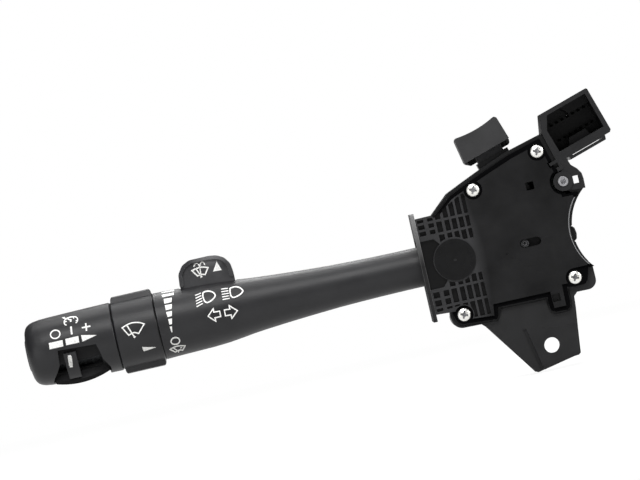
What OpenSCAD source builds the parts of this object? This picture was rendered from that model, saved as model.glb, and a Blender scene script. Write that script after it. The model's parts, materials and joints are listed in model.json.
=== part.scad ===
// Steering column multifunction switch: lever with cruise, wiper, washer and
// lamp controls, hazard button, wiring socket and mounting bracket.
// X runs along the lever towards the column, Z is up and the driver sits at -Y.
// The origin is the middle of the bracket's bolt hole.

/* [Column housing] */
// front face of the cover, measured from the lever axis
cover_face = 14.5; // [13:0.1:16]
// thickness of the cover plate
cover_t = 3; // [2.6:0.1:3.4]
// height of the cover's raised middle above its edge
plateau_h = 0.8; // [0.4:0.1:1.2]
// rear face of the housing, measured from the lever axis
back_face = 13.5; // [12.8:0.1:15]
// housing wall thickness
wall = 2; // [1.6:0.1:2.4]
// width of the lattice ribs on the cover
rib_w = 1.1; // [0.8:0.1:1.3]
// depth of the lattice pockets in the cover
pocket_d = 2; // [1:0.1:2.2]
// radius of the round pivot boss on the cover
boss_r = 9.3; // [8:0.1:10]

/* [Fasteners] */
// radius of the pan head screws' heads
head_r = 2.85; // [2.6:0.05:3]
// height of the pan heads
head_h = 1.7; // [1.4:0.1:2]
// nominal radius of the thread-forming screws
screw_r = 1.4; // [1.2:0.05:1.5]
// length of the screws under the head
screw_len = 14; // [10:1:18]
// radius of the rivet that holds the wiring socket
rivet_r = 1.9; // [1.6:0.1:2.2]

/* [Mounting bracket] */
// radius of the bolt hole
bolt_hole_r = 3.5; // [3:0.1:4]
// thickness of the bracket plate
bracket_t = 3; // [2.5:0.1:3.5]
// rise of the sloping pad at its lower edge
pad_rise = 2.4; // [1:0.1:3]
// radius of the land round the bolt hole on the rear
land_r = 7.5; // [6:0.1:8.5]
// height of that land
land_h = 0.8; // [0.4:0.1:1.2]

/* [Dust shield] */
// thickness of the shield plate
shield_t = 1.9; // [1.5:0.1:2.2]
// height of the lever slot in the shield
slot_h = 24; // [23.8:0.1:26]
// width of the lever slot in the shield
slot_w = 23.4; // [23.2:0.1:25]

/* [Lever] */
// wall of the lever's tube
tube_wall = 2; // [1.6:0.1:2.4]
// radius of the lever where it enters the shield
root_r = 9; // [8.2:0.1:9.2]
// radius of the wiper band
band_r = 15.7; // [15.2:0.05:16.1]
// height of the band's grip ridges
ridge_h = 2; // [1.4:0.1:2.5]
// width of the ridges at their tops
ridge_w = 6.8; // [5:0.1:8]
// how far the lever lies below the band
lever_step = 0.5; // [0.2:0.1:0.8]
// how far the end module lies below the band
end_step = 0.1; // [0.05:0.05:0.4]

/* [Controls] */
// width of the cruise slider along the lever
slider_w = 5.5; // [5:0.1:6.2]
// radius of the set button
button_r = 7; // [6:0.1:8]
// travel of the set button
button_travel = 1.6; // [1:0.1:2]
// travel of the hazard button
hazard_travel = 2; // [1.5:0.1:2.2]
// thickness of the washer paddle
paddle_t = 5.6; // [5:0.1:6]
// running clearance round pins and shafts
fit = 0.06; // [0.03:0.01:0.1]
// clearance round moving pieces
gap = 0.3; // [0.2:0.05:0.4]

/* [Hidden] */
$fn = 64;

// places of the pivot, bolt hole and screws, in x and z from the lever pivot
bolt_x = 34;
bolt_z = -47.2;
screw_at = [[14.7, 28.5], [46.5, 39.1], [50.7, -19.8], [-1.5, -25.1]];
rivet_at = [55, 23.4];
socket_tilt = 17.2;

// levels in y: the cover's faces, the rim below it and the back wall
face_y = -cover_face;
edge_y = face_y + plateau_h;
rim_y = face_y + cover_t;
plate_back_y = rim_y + bracket_t;
back_y = back_face;
floor_y = back_y - wall - 0.5;
bracket_mid_y = rim_y + bracket_t / 2;

// radii that follow the band: the lever's shoulder, the ridges and the end module
shoulder_r = band_r - lever_step;
ridge_r = band_r + ridge_h;
end_r = band_r - end_step;

// lever stations in x
shield_x = -13.7;
tube_end_x = -12;
band_x0 = -156;
band_x1 = -136.5;
tube_x = band_x1 + gap;
core_x = band_x0 - 4;
core_r = 9.8;
module_x = band_x0 - gap;
end_x = -197.4;

// pivot pieces
trunnion_r = 4;
carrier_y = 9.2;
carrier_z = 11;
carrier_x = 8;
block_z = 7.8;
block_r = 6.4;
pin_r = 2;
tail_x = 24;
tip_x = 26;
tip_r = 1.9;
plunger_r = 2;
cam_r = tip_x + 0.25;
detent_angle = 9;
slider_pin_x = 20;
slider_pin_r = 1.25;

// hinge of the washer paddle in y and z, and the tail below it that its spring pushes
paddle_y = -0.6;
paddle_z = 8.8;
paddle_x0 = -123.4;
paddle_x1 = -98.6;
paddle_front_y = paddle_y - paddle_t / 2;
paddle_back_y = paddle_y + paddle_t / 2;
tail_z = paddle_z - 2.8;
tail_front_y = paddle_y - 1.8;
tail_seat_y = -9.5;
barrel_r = 2.2;

// cruise slider: window floor, slider middle and the rounded lower edge of its well
floor_r = 12.5;
knob_x = -177.8;
board_y = -8.4;
board_half = sqrt(pow(floor_r - 1.4, 2) - pow(board_y, 2));
well_x0 = -187.3;
well_x1 = -162.2;

// column recess
recess_x = 79.1;
recess_z = -0.6;
recess_r = 24.7;
recess_edge = recess_x - recess_r;

// cancelling pawl's spring, between the pawl and its seat beside the recess
spring_x = 41.4;
spring_seat_x = recess_edge - 2.6;
nose_x = recess_edge + 1.6;
cover_recess_x = 77.1;
cover_recess_z = -0.1;
cover_recess_r = 23.6;

module seat() {
  translate([-bolt_x, -bracket_mid_y, -bolt_z]) children();
}

// a flat shape drawn in x and z, standing between two levels of y
module slab(y0, y1) {
  translate([0, y1, 0]) rotate([90, 0, 0]) linear_extrude(y1 - y0) children();
}

module rod_y(r, y0, y1, x, z) {
  translate([x, y0, z]) rotate([-90, 0, 0]) cylinder(r = r, h = y1 - y0);
}

module rod_x(r, x0, x1, y, z) {
  translate([x0, y, z]) rotate([0, 90, 0]) cylinder(r = r, h = x1 - x0);
}

module block(x0, x1, y0, y1, z0, z1) {
  translate([x0, y0, z0]) cube([x1 - x0, y1 - y0, z1 - z0]);
}

// part of a tube about the lever axis between two angles from the driver's side downwards
module tube_sector(x0, x1, r0, r1, a0, a1) {
  rotate([a0, 0, 0]) translate([x0, 0, 0]) rotate([90, 0, 90])
    rotate([0, 0, 180]) rotate_extrude(angle = a1 - a0)
      translate([r0, 0]) square([r1 - r0, x1 - x0]);
}

// the axes of the hazard button and the wiring socket, which lean with the top wall
module leaning() {
  rotate([0, -socket_tilt, 0]) children();
}

module rounded_box(x0, x1, z0, z1, r) {
  translate([x0 + r, z0]) square([x1 - x0 - 2 * r, z1 - z0]);
  translate([x0, z0 + r]) square([x1 - x0, z1 - z0 - 2 * r]);
  for (x = [x0 + r, x1 - r], z = [z0 + r, z1 - r]) translate([x, z]) circle(r = r);
}

// coil of square wire along +x from the origin
module coil(r, wire, length, turns) {
  pitch = (length - wire) / turns;
  span = 360 * wire / pitch;
  steps = 6;
  outer = [for (i = [0:steps]) r * [cos(span * i / steps), sin(span * i / steps)]];
  inner = [for (i = [steps:-1:0])
    (r - wire) * [cos(span * i / steps), sin(span * i / steps)]];
  rotate([0, 90, 0]) linear_extrude(height = length, twist = -360 * turns,
    slices = 12 * turns, $fn = 8) polygon(concat(outer, inner));
}

// outlines of the housing and cover

module recess_cut() {
  translate([recess_x, recess_z]) circle(r = recess_r, $fn = 180);
}

module housing_outline() {
  difference() {
    union() {
      polygon([[shield_x, 21.5], [-5.7, 21.6], [3.2, 29.6], [11.8, 33.4], [20.8, 37.2],
        [33.5, 42.1], [50.2, 46.5], [54.8, 31.2], [58.8, 29.5], [58.8, 20.2],
        [63.9, 20.2], [64.1, 18.2], [62, 14], [62, -14], [59.7, -16.7],
        [59.8, -22.3], [55.6, -26.5], [50.3, -26.4], [48, -28], [20, -30], [5, -30.9],
        [-2.6, -30.9], [-7.5, -26], [-7, -22.6], [shield_x, -22.4]]);
      translate([55.6, -22.3]) circle(r = 4.2);
      translate([-2.6, -26]) circle(r = 4.9);
    }
    recess_cut();
  }
}

module housing_cavity() {
  difference() {
    polygon([[shield_x - 1, 19.5], [-5, 19.5], [4.3, 27.5], [12.6, 31.2], [21.5, 35],
      [34, 39.9], [48.9, 43.8], [53, 29.4], [56.8, 27.6], [56.8, 19], [58.6, 16.2],
      [57, 8], [57, -10], [52, -17], [48, -26], [20, -28], [5, -28.9],
      [-4, -28.5], [-5, -20.5], [shield_x - 1, -20.4]]);
    translate([recess_x, recess_z]) circle(r = recess_r + wall, $fn = 180);
  }
}

module cover_outline() {
  difference() {
    union() {
      polygon([[shield_x, 21.5], [-6.2, 21.6], [-5.2, 20.3], [4, 28.1], [12.3, 31.8],
        [21.3, 35.6], [33.9, 40.4], [48.8, 44.4], [53.8, 27.6], [55, 17.5], [60.5, 17.2],
        [60.5, -16.7], [57.5, -16.8], [56, -22], [54.6, -23.6], [49.6, -23.8],
        [46.2, -23.2], [46.1, -29.6], [45.7, -32.2], [44.4, -33.2], [39.3, -33],
        [37.4, -32.3], [36.9, -31.1], [36.6, -28.5], [36.9, -25.6], [14, -25.2],
        [13.4, -28.9], [12.3, -30.3], [-1.4, -29.2], [-5.4, -26.4], [-6.6, -22.8],
        [shield_x, -22.4]]);
      translate([-1.6, -25.1]) circle(r = 4.2);
    }
    translate([cover_recess_x, cover_recess_z]) circle(r = cover_recess_r, $fn = 180);
    translate(rivet_at) circle(r = 5.1);
  }
}

// raised middle of the cover, which leaves rings free round the screws
module plateau_outline() {
  difference() {
    polygon([[shield_x, 21.5], [-6.2, 21.6], [-4.1, 19.6], [4.5, 26.6], [12.9, 30.2],
      [22, 33.8], [34.4, 38.4], [47.8, 42.2], [52, 27.6], [53, 16.5], [58, 16.4],
      [54.6, 7], [53.3, 0], [54.4, -9], [57.4, -15.2], [54, -22], [44.2, -21.6],
      [44, -31.2], [38.6, -31.2], [38.4, -23.6], [12.2, -23.4], [11.6, -28.4],
      [-1.4, -27.4], [-5, -22.8], [shield_x, -22.4]]);
    for (at = screw_at) translate(at) circle(r = 4.2);
    translate([46.5, 38]) square([9, 9]);
    translate([50.7, -28]) square([9, 8.2]);
    translate([50.7, -21]) square([9, 5.4]);
    translate([-9, -31]) square([7.5, 5.9]);
    translate(rivet_at) circle(r = 6);
  }
}

// lattice pockets left of the plateau: columns between the upright ribs
columns = [[-13, -10.1], [-8.3, -5.8], [-4.7, -2.2], [-0.9, 1.3], [2.3, 4.5], [5.5, 7.7],
  [8.7, 10.4]];

// heights of the level ribs above and below the boss
top_rib = 18.7;
upper_rib = 12.8;
lower_rib = -12;
bottom_rib = -19.4;

// one pocket between two level ribs, or open towards a level given as it is
module cell(c, z0, z1) {
  translate([c[0], z0]) square([c[1] - c[0], z1 - z0]);
}

module lattice_cells() {
  h = rib_w / 2;
  for (i = [0:6]) {
    c = columns[i];
    cell(c, top_rib + h, i < 2 ? 20.6 : 28);
    cell(c, i < 3 ? -21.4 : -27.2, bottom_rib - h);
    // the two columns next to the shield have one more level rib
    if (i < 2) {
      mid_up = (upper_rib + top_rib) / 2;
      mid_low = (lower_rib + bottom_rib) / 2;
      cell(c, upper_rib + h, mid_up - h);
      cell(c, mid_up + h, top_rib - h);
      cell(c, bottom_rib + h, mid_low - h);
      cell(c, mid_low + h, lower_rib - h);
    } else {
      cell(c, upper_rib + h, top_rib - h);
      cell(c, bottom_rib + h, lower_rib - h);
      cell(c, 8, upper_rib - h);
      cell(c, lower_rib + h, -8);
    }
  }
}

module lattice() {
  difference() {
    intersection() {
      lattice_cells();
      polygon([[shield_x, 20.6], [-4.9, 20.6], [4.8, 26], [10.4, 28.6], [13, 20], [12, -8],
        [12.4, -27.2], [2.4, -27.4], [-2, -20.6], [shield_x, -21.4]]);
    }
    circle(r = boss_r + 0.8);
    for (at = [screw_at[0], screw_at[3]]) translate(at) circle(r = 4.6);
  }
}

// column housing pieces

module screw_posts() {
  for (at = screw_at) rod_y(3.4, at[1] < 0 ? plate_back_y : rim_y, floor_y + 0.5,
    at[0], at[1]);
}

module screw_bores(r, y0, y1) {
  for (at = screw_at) rod_y(r, y0, y1, at[0], at[1]);
}

module hazard_guide(grow) {
  leaning() block(31 - grow, 44 + grow, -4 - grow, 4 + grow, 20, 34);
}

module housing() {
  color([0.13, 0.13, 0.14]) seat() difference() {
    union() {
      difference() {
        slab(rim_y, back_y) housing_outline();
        slab(rim_y - 1, floor_y) housing_cavity();
      }
      screw_posts();
      // bearing for the swivel's rear trunnion
      rod_y(7, 9.8, back_y + 1, 0, 0);
      rod_y(boss_r, back_y - 0.5, back_y + 0.6, 0, 0);
      // hazard button guide and spring seat
      intersection() {
        leaning() difference() {
          block(29.4, 45.6, -5.6, floor_y + 0.5, 5, 31);
          block(31 - gap, 44 + gap, -4 - gap, 4 + gap, 6.8, 40);
          block(32.4, 42.6, -10, 12, 7, 19);
        }
        slab(rim_y, back_y) housing_outline();
      }
      // collar round the plunger, inside the button's skirt
      leaning() difference() {
        block(30, 45.9, -4.9, 4.9, 27, 31.9);
        block(31 - gap, 44 + gap, -4 - gap, 4 + gap, 20, 40);
      }
      // seat of the cancel spring
      block(spring_seat_x, recess_edge + 0.2, -11.3, -4, 4.4, 10);
      // guide rib of the contact slider
      block(13.2, 14.8, 5, floor_y + 0.5, -10, 10);
      // posts under the circuit board
      for (at = [[19, -19], [46, -17], [46, 24]]) rod_y(2.6, 10.3, floor_y + 0.5, at[0], at[1]);
      // stiffening ribs and foot pads on the rear
      for (z = [-18, 16]) block(12, 50, back_y - 0.5, back_y + 1, z - 0.7, z + 0.7);
      for (x = [16, 33, 48]) block(x - 0.7, x + 0.7, back_y - 0.5, back_y + 1, -18, 16);
    }
    // bracket plate and its ears lie in the lower rim
    slab(rim_y - 1, plate_back_y) bracket_zone();
    screw_bores(screw_r + 0.05, rim_y - 1, rim_y + screw_len);
    rod_y(trunnion_r + fit, 9, back_y - 0.4, 0, 0);
    hazard_guide(gap);
    // mouth for the cancelling pawl
    block(50, 60, -11.6, -6.9, -4.3, 3.3);
    // screw bosses' moulding cores seen from behind
    for (at = screw_at) rod_y(1.6, back_y - 1.2, back_y + 2, at[0], at[1]);
    // rivet shank
    rod_y(rivet_r + 0.05, rim_y - 1, -7.4, rivet_at[0], rivet_at[1]);
    // flat for the lever mouth on the open end
    block(shield_x - 1, shield_x + 2, -slot_w / 2, slot_w / 2, -slot_h / 2, slot_h / 2);
  }
}

module concentric_rings() {
  for (r = [4.4, 7.4]) rod_ring(r, 0.3);
}

module rod_ring(r, w) {
  difference() {
    rod_y(r + w / 2, face_y - 1.1, face_y - 0.5, 0, 0);
    rod_y(r - w / 2, face_y - 2, face_y + 1, 0, 0);
  }
}

module cover() {
  color([0.12, 0.12, 0.13]) seat() difference() {
    union() {
      slab(edge_y, rim_y) cover_outline();
      slab(face_y, rim_y) intersection() {
        cover_outline();
        plateau_outline();
      }
      // bearing for the front trunnion, proud of the face as a round boss
      rod_y(boss_r, face_y - 0.6, rim_y, 0, 0);
      rod_y(6.8, rim_y - 1, -9.6, 0, 0);
      // lip along the column recess
      intersection() {
        slab(face_y - 0.4, rim_y) cover_outline();
        slab(face_y - 0.4, rim_y) difference() {
          translate([cover_recess_x, cover_recess_z]) circle(r = cover_recess_r + 0.9, $fn = 180);
          translate([50, -60]) square([20, 44.6]);
          translate([50, 15.4]) square([20, 44.6]);
        }
      }
    }
    slab(face_y - 1, face_y + pocket_d) lattice();
    // hollow band between the boss and the shield
    slab(face_y - 1, face_y + 1.2) difference() {
      polygon([[shield_x - 1, 11], [-7.4, 11], [-5, 8], [-5, -8], [-7.4, -11],
        [shield_x - 1, -11]]);
      circle(r = boss_r + 0.4);
    }
    rod_y(trunnion_r + fit, face_y + 1.2, -9, 0, 0);
    rod_y(0.75, face_y - 1, face_y, 0, 0);
    concentric_rings();
    screw_bores(screw_r + 0.2, face_y - 2, rim_y + 1);
    screw_bores(3.3, face_y - 2, edge_y + 0.6);
    // windows and the slot that shows the pawl's pin
    block(38.2, 41.8, face_y - 1, rim_y + 1, 22.9, 26.5);
    block(38.7, 42.3, face_y - 1, rim_y + 1, -28.5, -24.9);
    slab(face_y - 1, rim_y + 1) {
      translate([31.9, -1.9]) square([5.7, 3.8]);
      translate([31.9, 0]) circle(r = 1.9);
      translate([37.6, 0]) circle(r = 1.9);
    }
    rod_y(0.45, face_y - 1, face_y + 0.4, 23.3, -2.9);
    // clearance for the socket's interlocking tab and tongue
    leaning() block(59.4, 64, edge_y - 2, rim_y + 1, 10.6, 13);
    leaning() block(57.2, 64, face_y - 1, rim_y + 1, 14, 16.8);
  }
}

module pan_head_screw() {
  difference() {
    union() {
      intersection() {
        rod_y(head_r, -head_h, 0, 0, 0);
        translate([0, head_r * 1.26, 0]) sphere(r = head_r * 1.82);
      }
      rod_y(screw_r, -0.2, screw_len - 0.6, 0, 0);
      translate([0, screw_len - 0.6, 0]) rotate([-90, 0, 0])
        cylinder(r1 = screw_r, r2 = screw_r - 0.6, h = 0.6);
    }
    for (a = [20, 110]) rotate([0, a, 0]) block(-1.75, 1.75, -3, -head_h + 1.2, -0.42, 0.42);
    rod_y(0.95, -3, -head_h + 1.3, 0, 0);
  }
}

module cover_screws() {
  color([0.8, 0.8, 0.82]) seat() for (at = screw_at)
    translate([at[0], edge_y + 0.6, at[1]]) pan_head_screw();
}

module dust_shield() {
  color([0.27, 0.27, 0.28]) seat() difference() {
    translate([shield_x - shield_t, 0, 0]) rotate([90, 0, 90]) linear_extrude(shield_t)
      rounded_box(face_y - 0.7, back_y + 0.7, -25.6, 24.1, 1);
    translate([shield_x - shield_t - 1, 0, 0]) rotate([90, 0, 90])
      linear_extrude(shield_t + 2) rounded_box(-slot_w / 2, slot_w / 2, -slot_h / 2,
        slot_h / 2, 4);
  }
}

module bracket_outline() {
  polygon([[-7.5, -22.9], [-7.5, -26], [-2.6, -30.9], [5.2, -31.1], [7, -32.8],
    [24.2, -57.2], [25.4, -57.8], [42.6, -54.2], [44.9, -54], [45.8, -53.2], [48.2, -33.2],
    [48.6, -28], [50.3, -26.4], [55.6, -26.5], [59.8, -22.3], [59.7, -16.7],
    [54.6, -14.6], [46.6, -15.4], [46, -22.4], [38, -23], [4, -22.9]]);
  translate([55.6, -22.3]) circle(r = 4.2);
  translate([-2.6, -26]) circle(r = 4.9);
}

// channel in the plate along the cover's lower edge
module edge_channel() {
  difference() {
    translate([-1.6, -25.1]) circle(r = 5.1);
    translate([-1.6, -25.1]) circle(r = 3.8);
  }
  polygon([[15.1, -26.3], [35.9, -26.7], [35.7, -28.5], [36, -31.3], [36.8, -33.1],
    [39.2, -33.9], [44.6, -34.1], [46.6, -32.8], [47, -29.6], [47, -24], [45.9, -24],
    [45.8, -29.6], [45.4, -32], [44.4, -32.9], [39.3, -32.7], [37.6, -32], [37.2, -31],
    [36.9, -28.5], [37.2, -25.1], [13.6, -24.7], [13, -28.5], [12.1, -29.7],
    [-1.4, -28.8], [-1.6, -30.1], [12.7, -31.3], [14.4, -29.4]]);
}

// the bracket's room in the housing, with a fit at its hidden upper edge
module bracket_zone() {
  bracket_outline();
  polygon([[46.6, -15.4], [54.6, -14.6], [62, -16.7], [62, -14], [46.6, -14]]);
  translate([-9, -32]) square([62, 2]);
  polygon([[-9, -32], [-9, -22.7], [46, -22.7], [46.6, -15.2], [54.6, -14.4],
    [62, -16.7], [62, -32]]);
}

module mounting_bracket() {
  color([0.12, 0.12, 0.13]) seat() difference() {
    union() {
      slab(rim_y, plate_back_y) bracket_outline();
      // sloping pad round the bolt hole
      intersection() {
        slab(rim_y - pad_rise - 1, rim_y + 1)
          polygon([[23.6, -37.6], [39, -39.6], [47.3, -40.4], [45.8, -53.2], [44.9, -54],
            [42.6, -54.2], [28.4, -57.1]]);
        translate([20, 0, 0]) rotate([90, 0, 90]) linear_extrude(30)
          polygon([[rim_y, -38], [rim_y + 1, -38], [rim_y + 1, -58],
            [rim_y - pad_rise, -58], [rim_y - pad_rise, -57]]);
      }
      // edge ribs on the rear
      slab(plate_back_y - 0.5, plate_back_y + 4) {
        polygon([[7, -32.8], [24.2, -57.4], [26, -56.6], [9.2, -32.8]]);
        polygon([[46.4, -33.2], [44.1, -53], [45.8, -53.2], [48.2, -33.2]]);
      }
      // land that meets the column
      rod_y(land_r, plate_back_y - 0.5, plate_back_y + land_h, bolt_x, bolt_z);
    }
    slab(rim_y - 0.5, rim_y + 1) edge_channel();
    // groove beside the pad
    slab(rim_y - pad_rise - 1, rim_y + 0.8)
      polygon([[22.6, -37.7], [24.2, -37.4], [28.6, -59], [27, -59]]);
    rod_y(bolt_hole_r, rim_y - pad_rise - 2, plate_back_y + 2, bolt_x, bolt_z);
    for (at = [screw_at[2], screw_at[3]])
      rod_y(screw_r + 0.2, rim_y - 1, plate_back_y + 1, at[0], at[1]);
  }
}

module socket_outline() {
  polygon([[65.5, 37.2], [89, 37.2], [89.6, 36.6], [89.7, 15.6], [88.8, 14.7],
    [86.2, 14.7], [85.6, 12.7], [67.6, 12.7], [67.4, 14.3], [61.9, 14.3], [61.9, 29.6]]);
}

module socket_pocket() {
  polygon([[68, 35.3], [87.6, 35.3], [87.6, 18.3], [64.8, 18.3], [64.6, 29.2]]);
}

module arm_outline() {
  difference() {
    union() {
      polygon([[50.4, 46.6], [57.8, 33.4], [59.4, 33], [59.3, 31.9], [60, 29.9],
        [62.5, 27.6], [64, 25.2], [64.3, 22.6], [64.2, 18.4], [59.8, 18.6], [55.4, 19],
        [51, 21.6], [51.4, 26], [55.5, 27.8]]);
      translate(rivet_at) circle(r = 4.4);
    }
    polygon([[59.4, 34], [61.9, 30], [63, 32], [62, 35]]);
  }
}

module connector_block() {
  color([0.14, 0.14, 0.15]) seat() difference() {
    union() {
      leaning() slab(face_y + 1, 9) socket_outline();
      // plate that reaches over the housing to the rivet
      slab(edge_y, rim_y) arm_outline();
      slab(edge_y, -3) intersection() {
        arm_outline();
        polygon([[59.1, 18], [66, 18], [66, 31], [59.1, 31]]);
      }
      rod_y(4.4, face_y - 0.3, rim_y, rivet_at[0], rivet_at[1]);
      leaning() block(59.7, 63, edge_y - 0.4, rim_y, 10.9, 12.7);
      leaning() block(57.9, 61.8, edge_y - 0.2, rim_y, 14.7, 16.1);
    }
    leaning() {
      // pocket, with keys left standing deep inside that only fit the right plug
      difference() {
        slab(face_y, 6.4) socket_pocket();
        slab(-5, 7) polygon([[74.6, 36], [76.6, 32.8], [77.4, 31.2], [88, 31.2], [88, 36]]);
        slab(-3.4, 7) polygon([[70.4, 18], [72.2, 21.6], [80.6, 21.6], [81.4, 18]]);
      }
      // gap behind the latch rail
      block(69.2, 84.4, face_y, 10, 13.8, 14.8);
      // terminal holes
      for (i = [0:6], v = [22.6, 30.2])
        block(67.9 + 2.8 * i, 69 + 2.8 * i, 6, 9.5, v - 0.55, v + 0.55);
    }
    // see-through window beside the rivet
    block(59.6, 62.6, face_y - 1, 0, 21.3, 24.7);
    rod_y(rivet_r + 0.05, face_y - 2, rim_y + 1, rivet_at[0], rivet_at[1]);
    slab(rim_y, back_y) polygon([[44, 48.1], [50.2, 46.5], [54.8, 31.2], [58.8, 29.5],
      [58.8, 20.2], [63.9, 20.2], [64.1, 18.2], [50, 16]]);
  }
}

module connector_pins() {
  color([0.75, 0.6, 0.3]) seat() leaning() for (i = [0:6], v = [22.6, 30.2])
    difference() {
      block(68 + 2.8 * i, 68.9 + 2.8 * i, -1, 8.8, v - 0.45, v + 0.45);
      translate([68 + 2.8 * i - 0.1, -1, v + 0.45]) rotate([45, 0, 0]) cube([2, 0.5, 0.5]);
    }
}

module connector_rivet() {
  color([0.6, 0.6, 0.6]) seat() translate([rivet_at[0], 0, rivet_at[1]]) difference() {
    union() {
      rod_y(rivet_r, face_y - 0.4, -7.6, 0, 0);
      rod_y(rivet_r + 0.35, face_y - 0.9, face_y - 0.3, 0, 0);
    }
    rod_y(rivet_r - 0.7, face_y - 2, face_y + 1.5, 0, 0);
  }
}

module circuit_board() {
  color([0.1, 0.35, 0.2]) seat() difference() {
    union() {
      slab(8.7, 10.3) difference() {
        polygon([[15.2, -21], [47.5, -21], [50.5, -9], [49, 0], [51, 10], [54, 17],
          [52.4, 27], [49.3, 37.4], [44.6, 36.2], [44.6, 19.4], [42.8, 17.4], [26, 12.2],
          [15.2, 12.2]]);
        for (z = [-7, 7]) translate([27.6, z - 1.6]) square([4.4, 3.2]);
        translate(screw_at[2]) circle(r = 4);
        translate(screw_at[1]) circle(r = 4);
      }
      // switch contacts and parts on the board's front
      for (z = [-8.4, -5.2, 3.6, 6.8]) block(17, 23, 8.3, 8.8, z, z + 1.6);
      block(38, 44, 6.6, 8.8, -16, -10);
      block(36, 42, 7, 8.8, 8, 12);
      for (i = [0:3]) block(46, 48, 7.6, 8.8, -6 + 3 * i, -4.6 + 3 * i);
    }
    // stator track openings of the slider
    block(19.4, 20.6, 8.2, 8.5, -10, 10);
  }
}

module detent_cam() {
  color([0.85, 0.83, 0.75]) seat() union() {
    slab(-3.6, 5.2) difference() {
      polygon([[22.8, 12.6], [33, 12.6], [33, -12.6], [22.8, -12.6]]);
      circle(r = cam_r, $fn = 180);
      for (a = [-detent_angle, 0, detent_angle]) rotate([0, 0, a])
        translate([25.2, 0]) circle(r = 1.9);
    }
    // rail of the contact slider, and the feet on the housing floor
    block(26.6, 28.6, 5, 8.5, -10, 10);
    for (z = [-7, 7]) block(28, 31.6, 5, floor_y, z - 1.3, z + 1.3);
  }
}

// swivel pieces

module turn_carrier() {
  color([0.85, 0.83, 0.78]) seat() difference() {
    union() {
      block(-carrier_x, carrier_x, -carrier_y, carrier_y, -carrier_z, carrier_z);
      rod_y(trunnion_r, -12.8, 12.8, 0, 0);
      for (s = [-1, 1]) rod_y(6, s < 0 ? -9.5 : carrier_y, s < 0 ? -carrier_y : 9.5, 0, 0);
      // tail that holds the detent plunger and drives the contact slider
      block(carrier_x, tail_x, -4, 4, -4, 4);
      rod_y(slider_pin_r, 3.5, 8, slider_pin_x, 0);
      for (z = [-carrier_z + 3, carrier_z - 4]) block(carrier_x - 0.5, 13, -3, 3, z, z + 1);
    }
    block(-carrier_x - 1, carrier_x - 1.2, -6.8, 6.8, -8, 8);
    translate([0, 0, -carrier_z - 1]) cylinder(r = pin_r + 0.02, h = 2 * carrier_z + 2);
    rod_x(plunger_r + fit, 11, tail_x + 1, 0, 0);
  }
}

module beam_pin() {
  color([0.72, 0.72, 0.74]) seat() translate([0, 0, -carrier_z])
    cylinder(r = pin_r, h = 2 * carrier_z);
}

module detent_plunger() {
  color([0.8, 0.8, 0.8]) seat() difference() {
    union() {
      rod_x(plunger_r, 16.5, tip_x - tip_r, 0, 0);
      translate([tip_x - tip_r, 0, 0]) sphere(r = tip_r);
    }
    rod_x(1.2, 16, 17.5, 0, 0);
  }
}

module detent_spring() {
  color([0.7, 0.7, 0.72]) seat() translate([11, 0, 0]) coil(1.8, 0.45, 4.2, 3);
}

module turn_slider() {
  color([0.8, 0.72, 0.5]) seat() difference() {
    union() {
      block(15.1, 26.3, 5.2, 8, -6.4, 6.4);
      for (z = [-5.6, 4.4]) block(17.6, 22.4, 4.6, 5.4, z, z + 1.2);
    }
    slab(4, 9) rounded_box(18.4, 21.6, -1.4, 1.4, 1.3);
  }
}

module cancel_pawl() {
  color([0.82, 0.8, 0.74]) seat() difference() {
    union() {
      slab(-11.2, -7.2) {
        polygon([[29, -3.2], [nose_x - 6, -3.8], [nose_x - 1.4, -3.8], [nose_x - 0.4, -3],
          [nose_x, -0.6], [nose_x - 0.4, 1.8], [nose_x - 1.2, 2.8], [nose_x - 6, 2.8],
          [29, 3.2]]);
        polygon([[34, 2], [46, 2], [46, 10], [34, 10]]);
      }
      block(34, 46, -11.2, -5.8, 4.2, 10);
      rod_y(1.75, -13.9, -11, 32.1, 0);
    }
    rod_x(2.2, 36, 47, -8.5, 7.1);
    rod_y(0.8, -14.5, -13.3, 32.1, 0);
  }
}

module cancel_spring() {
  color([0.7, 0.7, 0.72]) seat() translate([spring_x, -8.5, 7.1])
    coil(1.9, 0.45, spring_seat_x - spring_x, 6);
}

// lever pieces

tube_profile = concat(
  [for (p = [[tube_x, 0], [-130, 0.25], [-122, 0.45], [-114, 0.65], [-107, 1.1],
    [-101, 1.8], [-95, 2.6], [-90, 3.1]]) [p[0], shoulder_r - p[1]]],
  [for (p = [[-84, 2.6], [-79, 2.2], [-74, 1.85], [-68, 1.45], [-62, 1.1], [-55, 0.7],
    [-46, 0.4], [-36, 0.15], [-24, 0], [tube_end_x, 0]]) [p[0], root_r + p[1]]]);

module tube_solid(inset) {
  points = [for (p = tube_profile) [p[0], p[1] - inset]];
  rotate([0, 90, 0]) rotate_extrude()
    polygon(concat([[0, tube_profile[0][0]]], [for (p = points) [p[1], p[0]]],
      [[0, tube_end_x]]));
}

module tube_shell() {
  difference() {
    tube_solid(0);
    difference() {
      tube_solid(tube_wall);
      // thicker root that grips the spigot, and the ring that locates the core
      rod_x(10, -34, tube_end_x + 1, 0, 0);
    }
    rod_x(6.2, -35, tube_end_x + 1, 0, 0);
    rod_x(shoulder_r - tube_wall, tube_x - 1, tube_x + 3.2, 0, 0);
    paddle_slot();
  }
}

module paddle_slot() {
  block(paddle_x0 - 0.7, paddle_x1 + 0.7, paddle_front_y - 0.4, paddle_back_y + 1.2,
    6, 20);
}

// lugs beside the slot, which hold the paddle's pin between the two halves
module paddle_lugs() {
  intersection() {
    tube_solid(1);
    for (x = [paddle_x0 - 3.6, paddle_x1 + 0.8])
      block(x, x + 2.8, paddle_y - 4, paddle_y + 4, 6.4, 20);
  }
}

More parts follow.
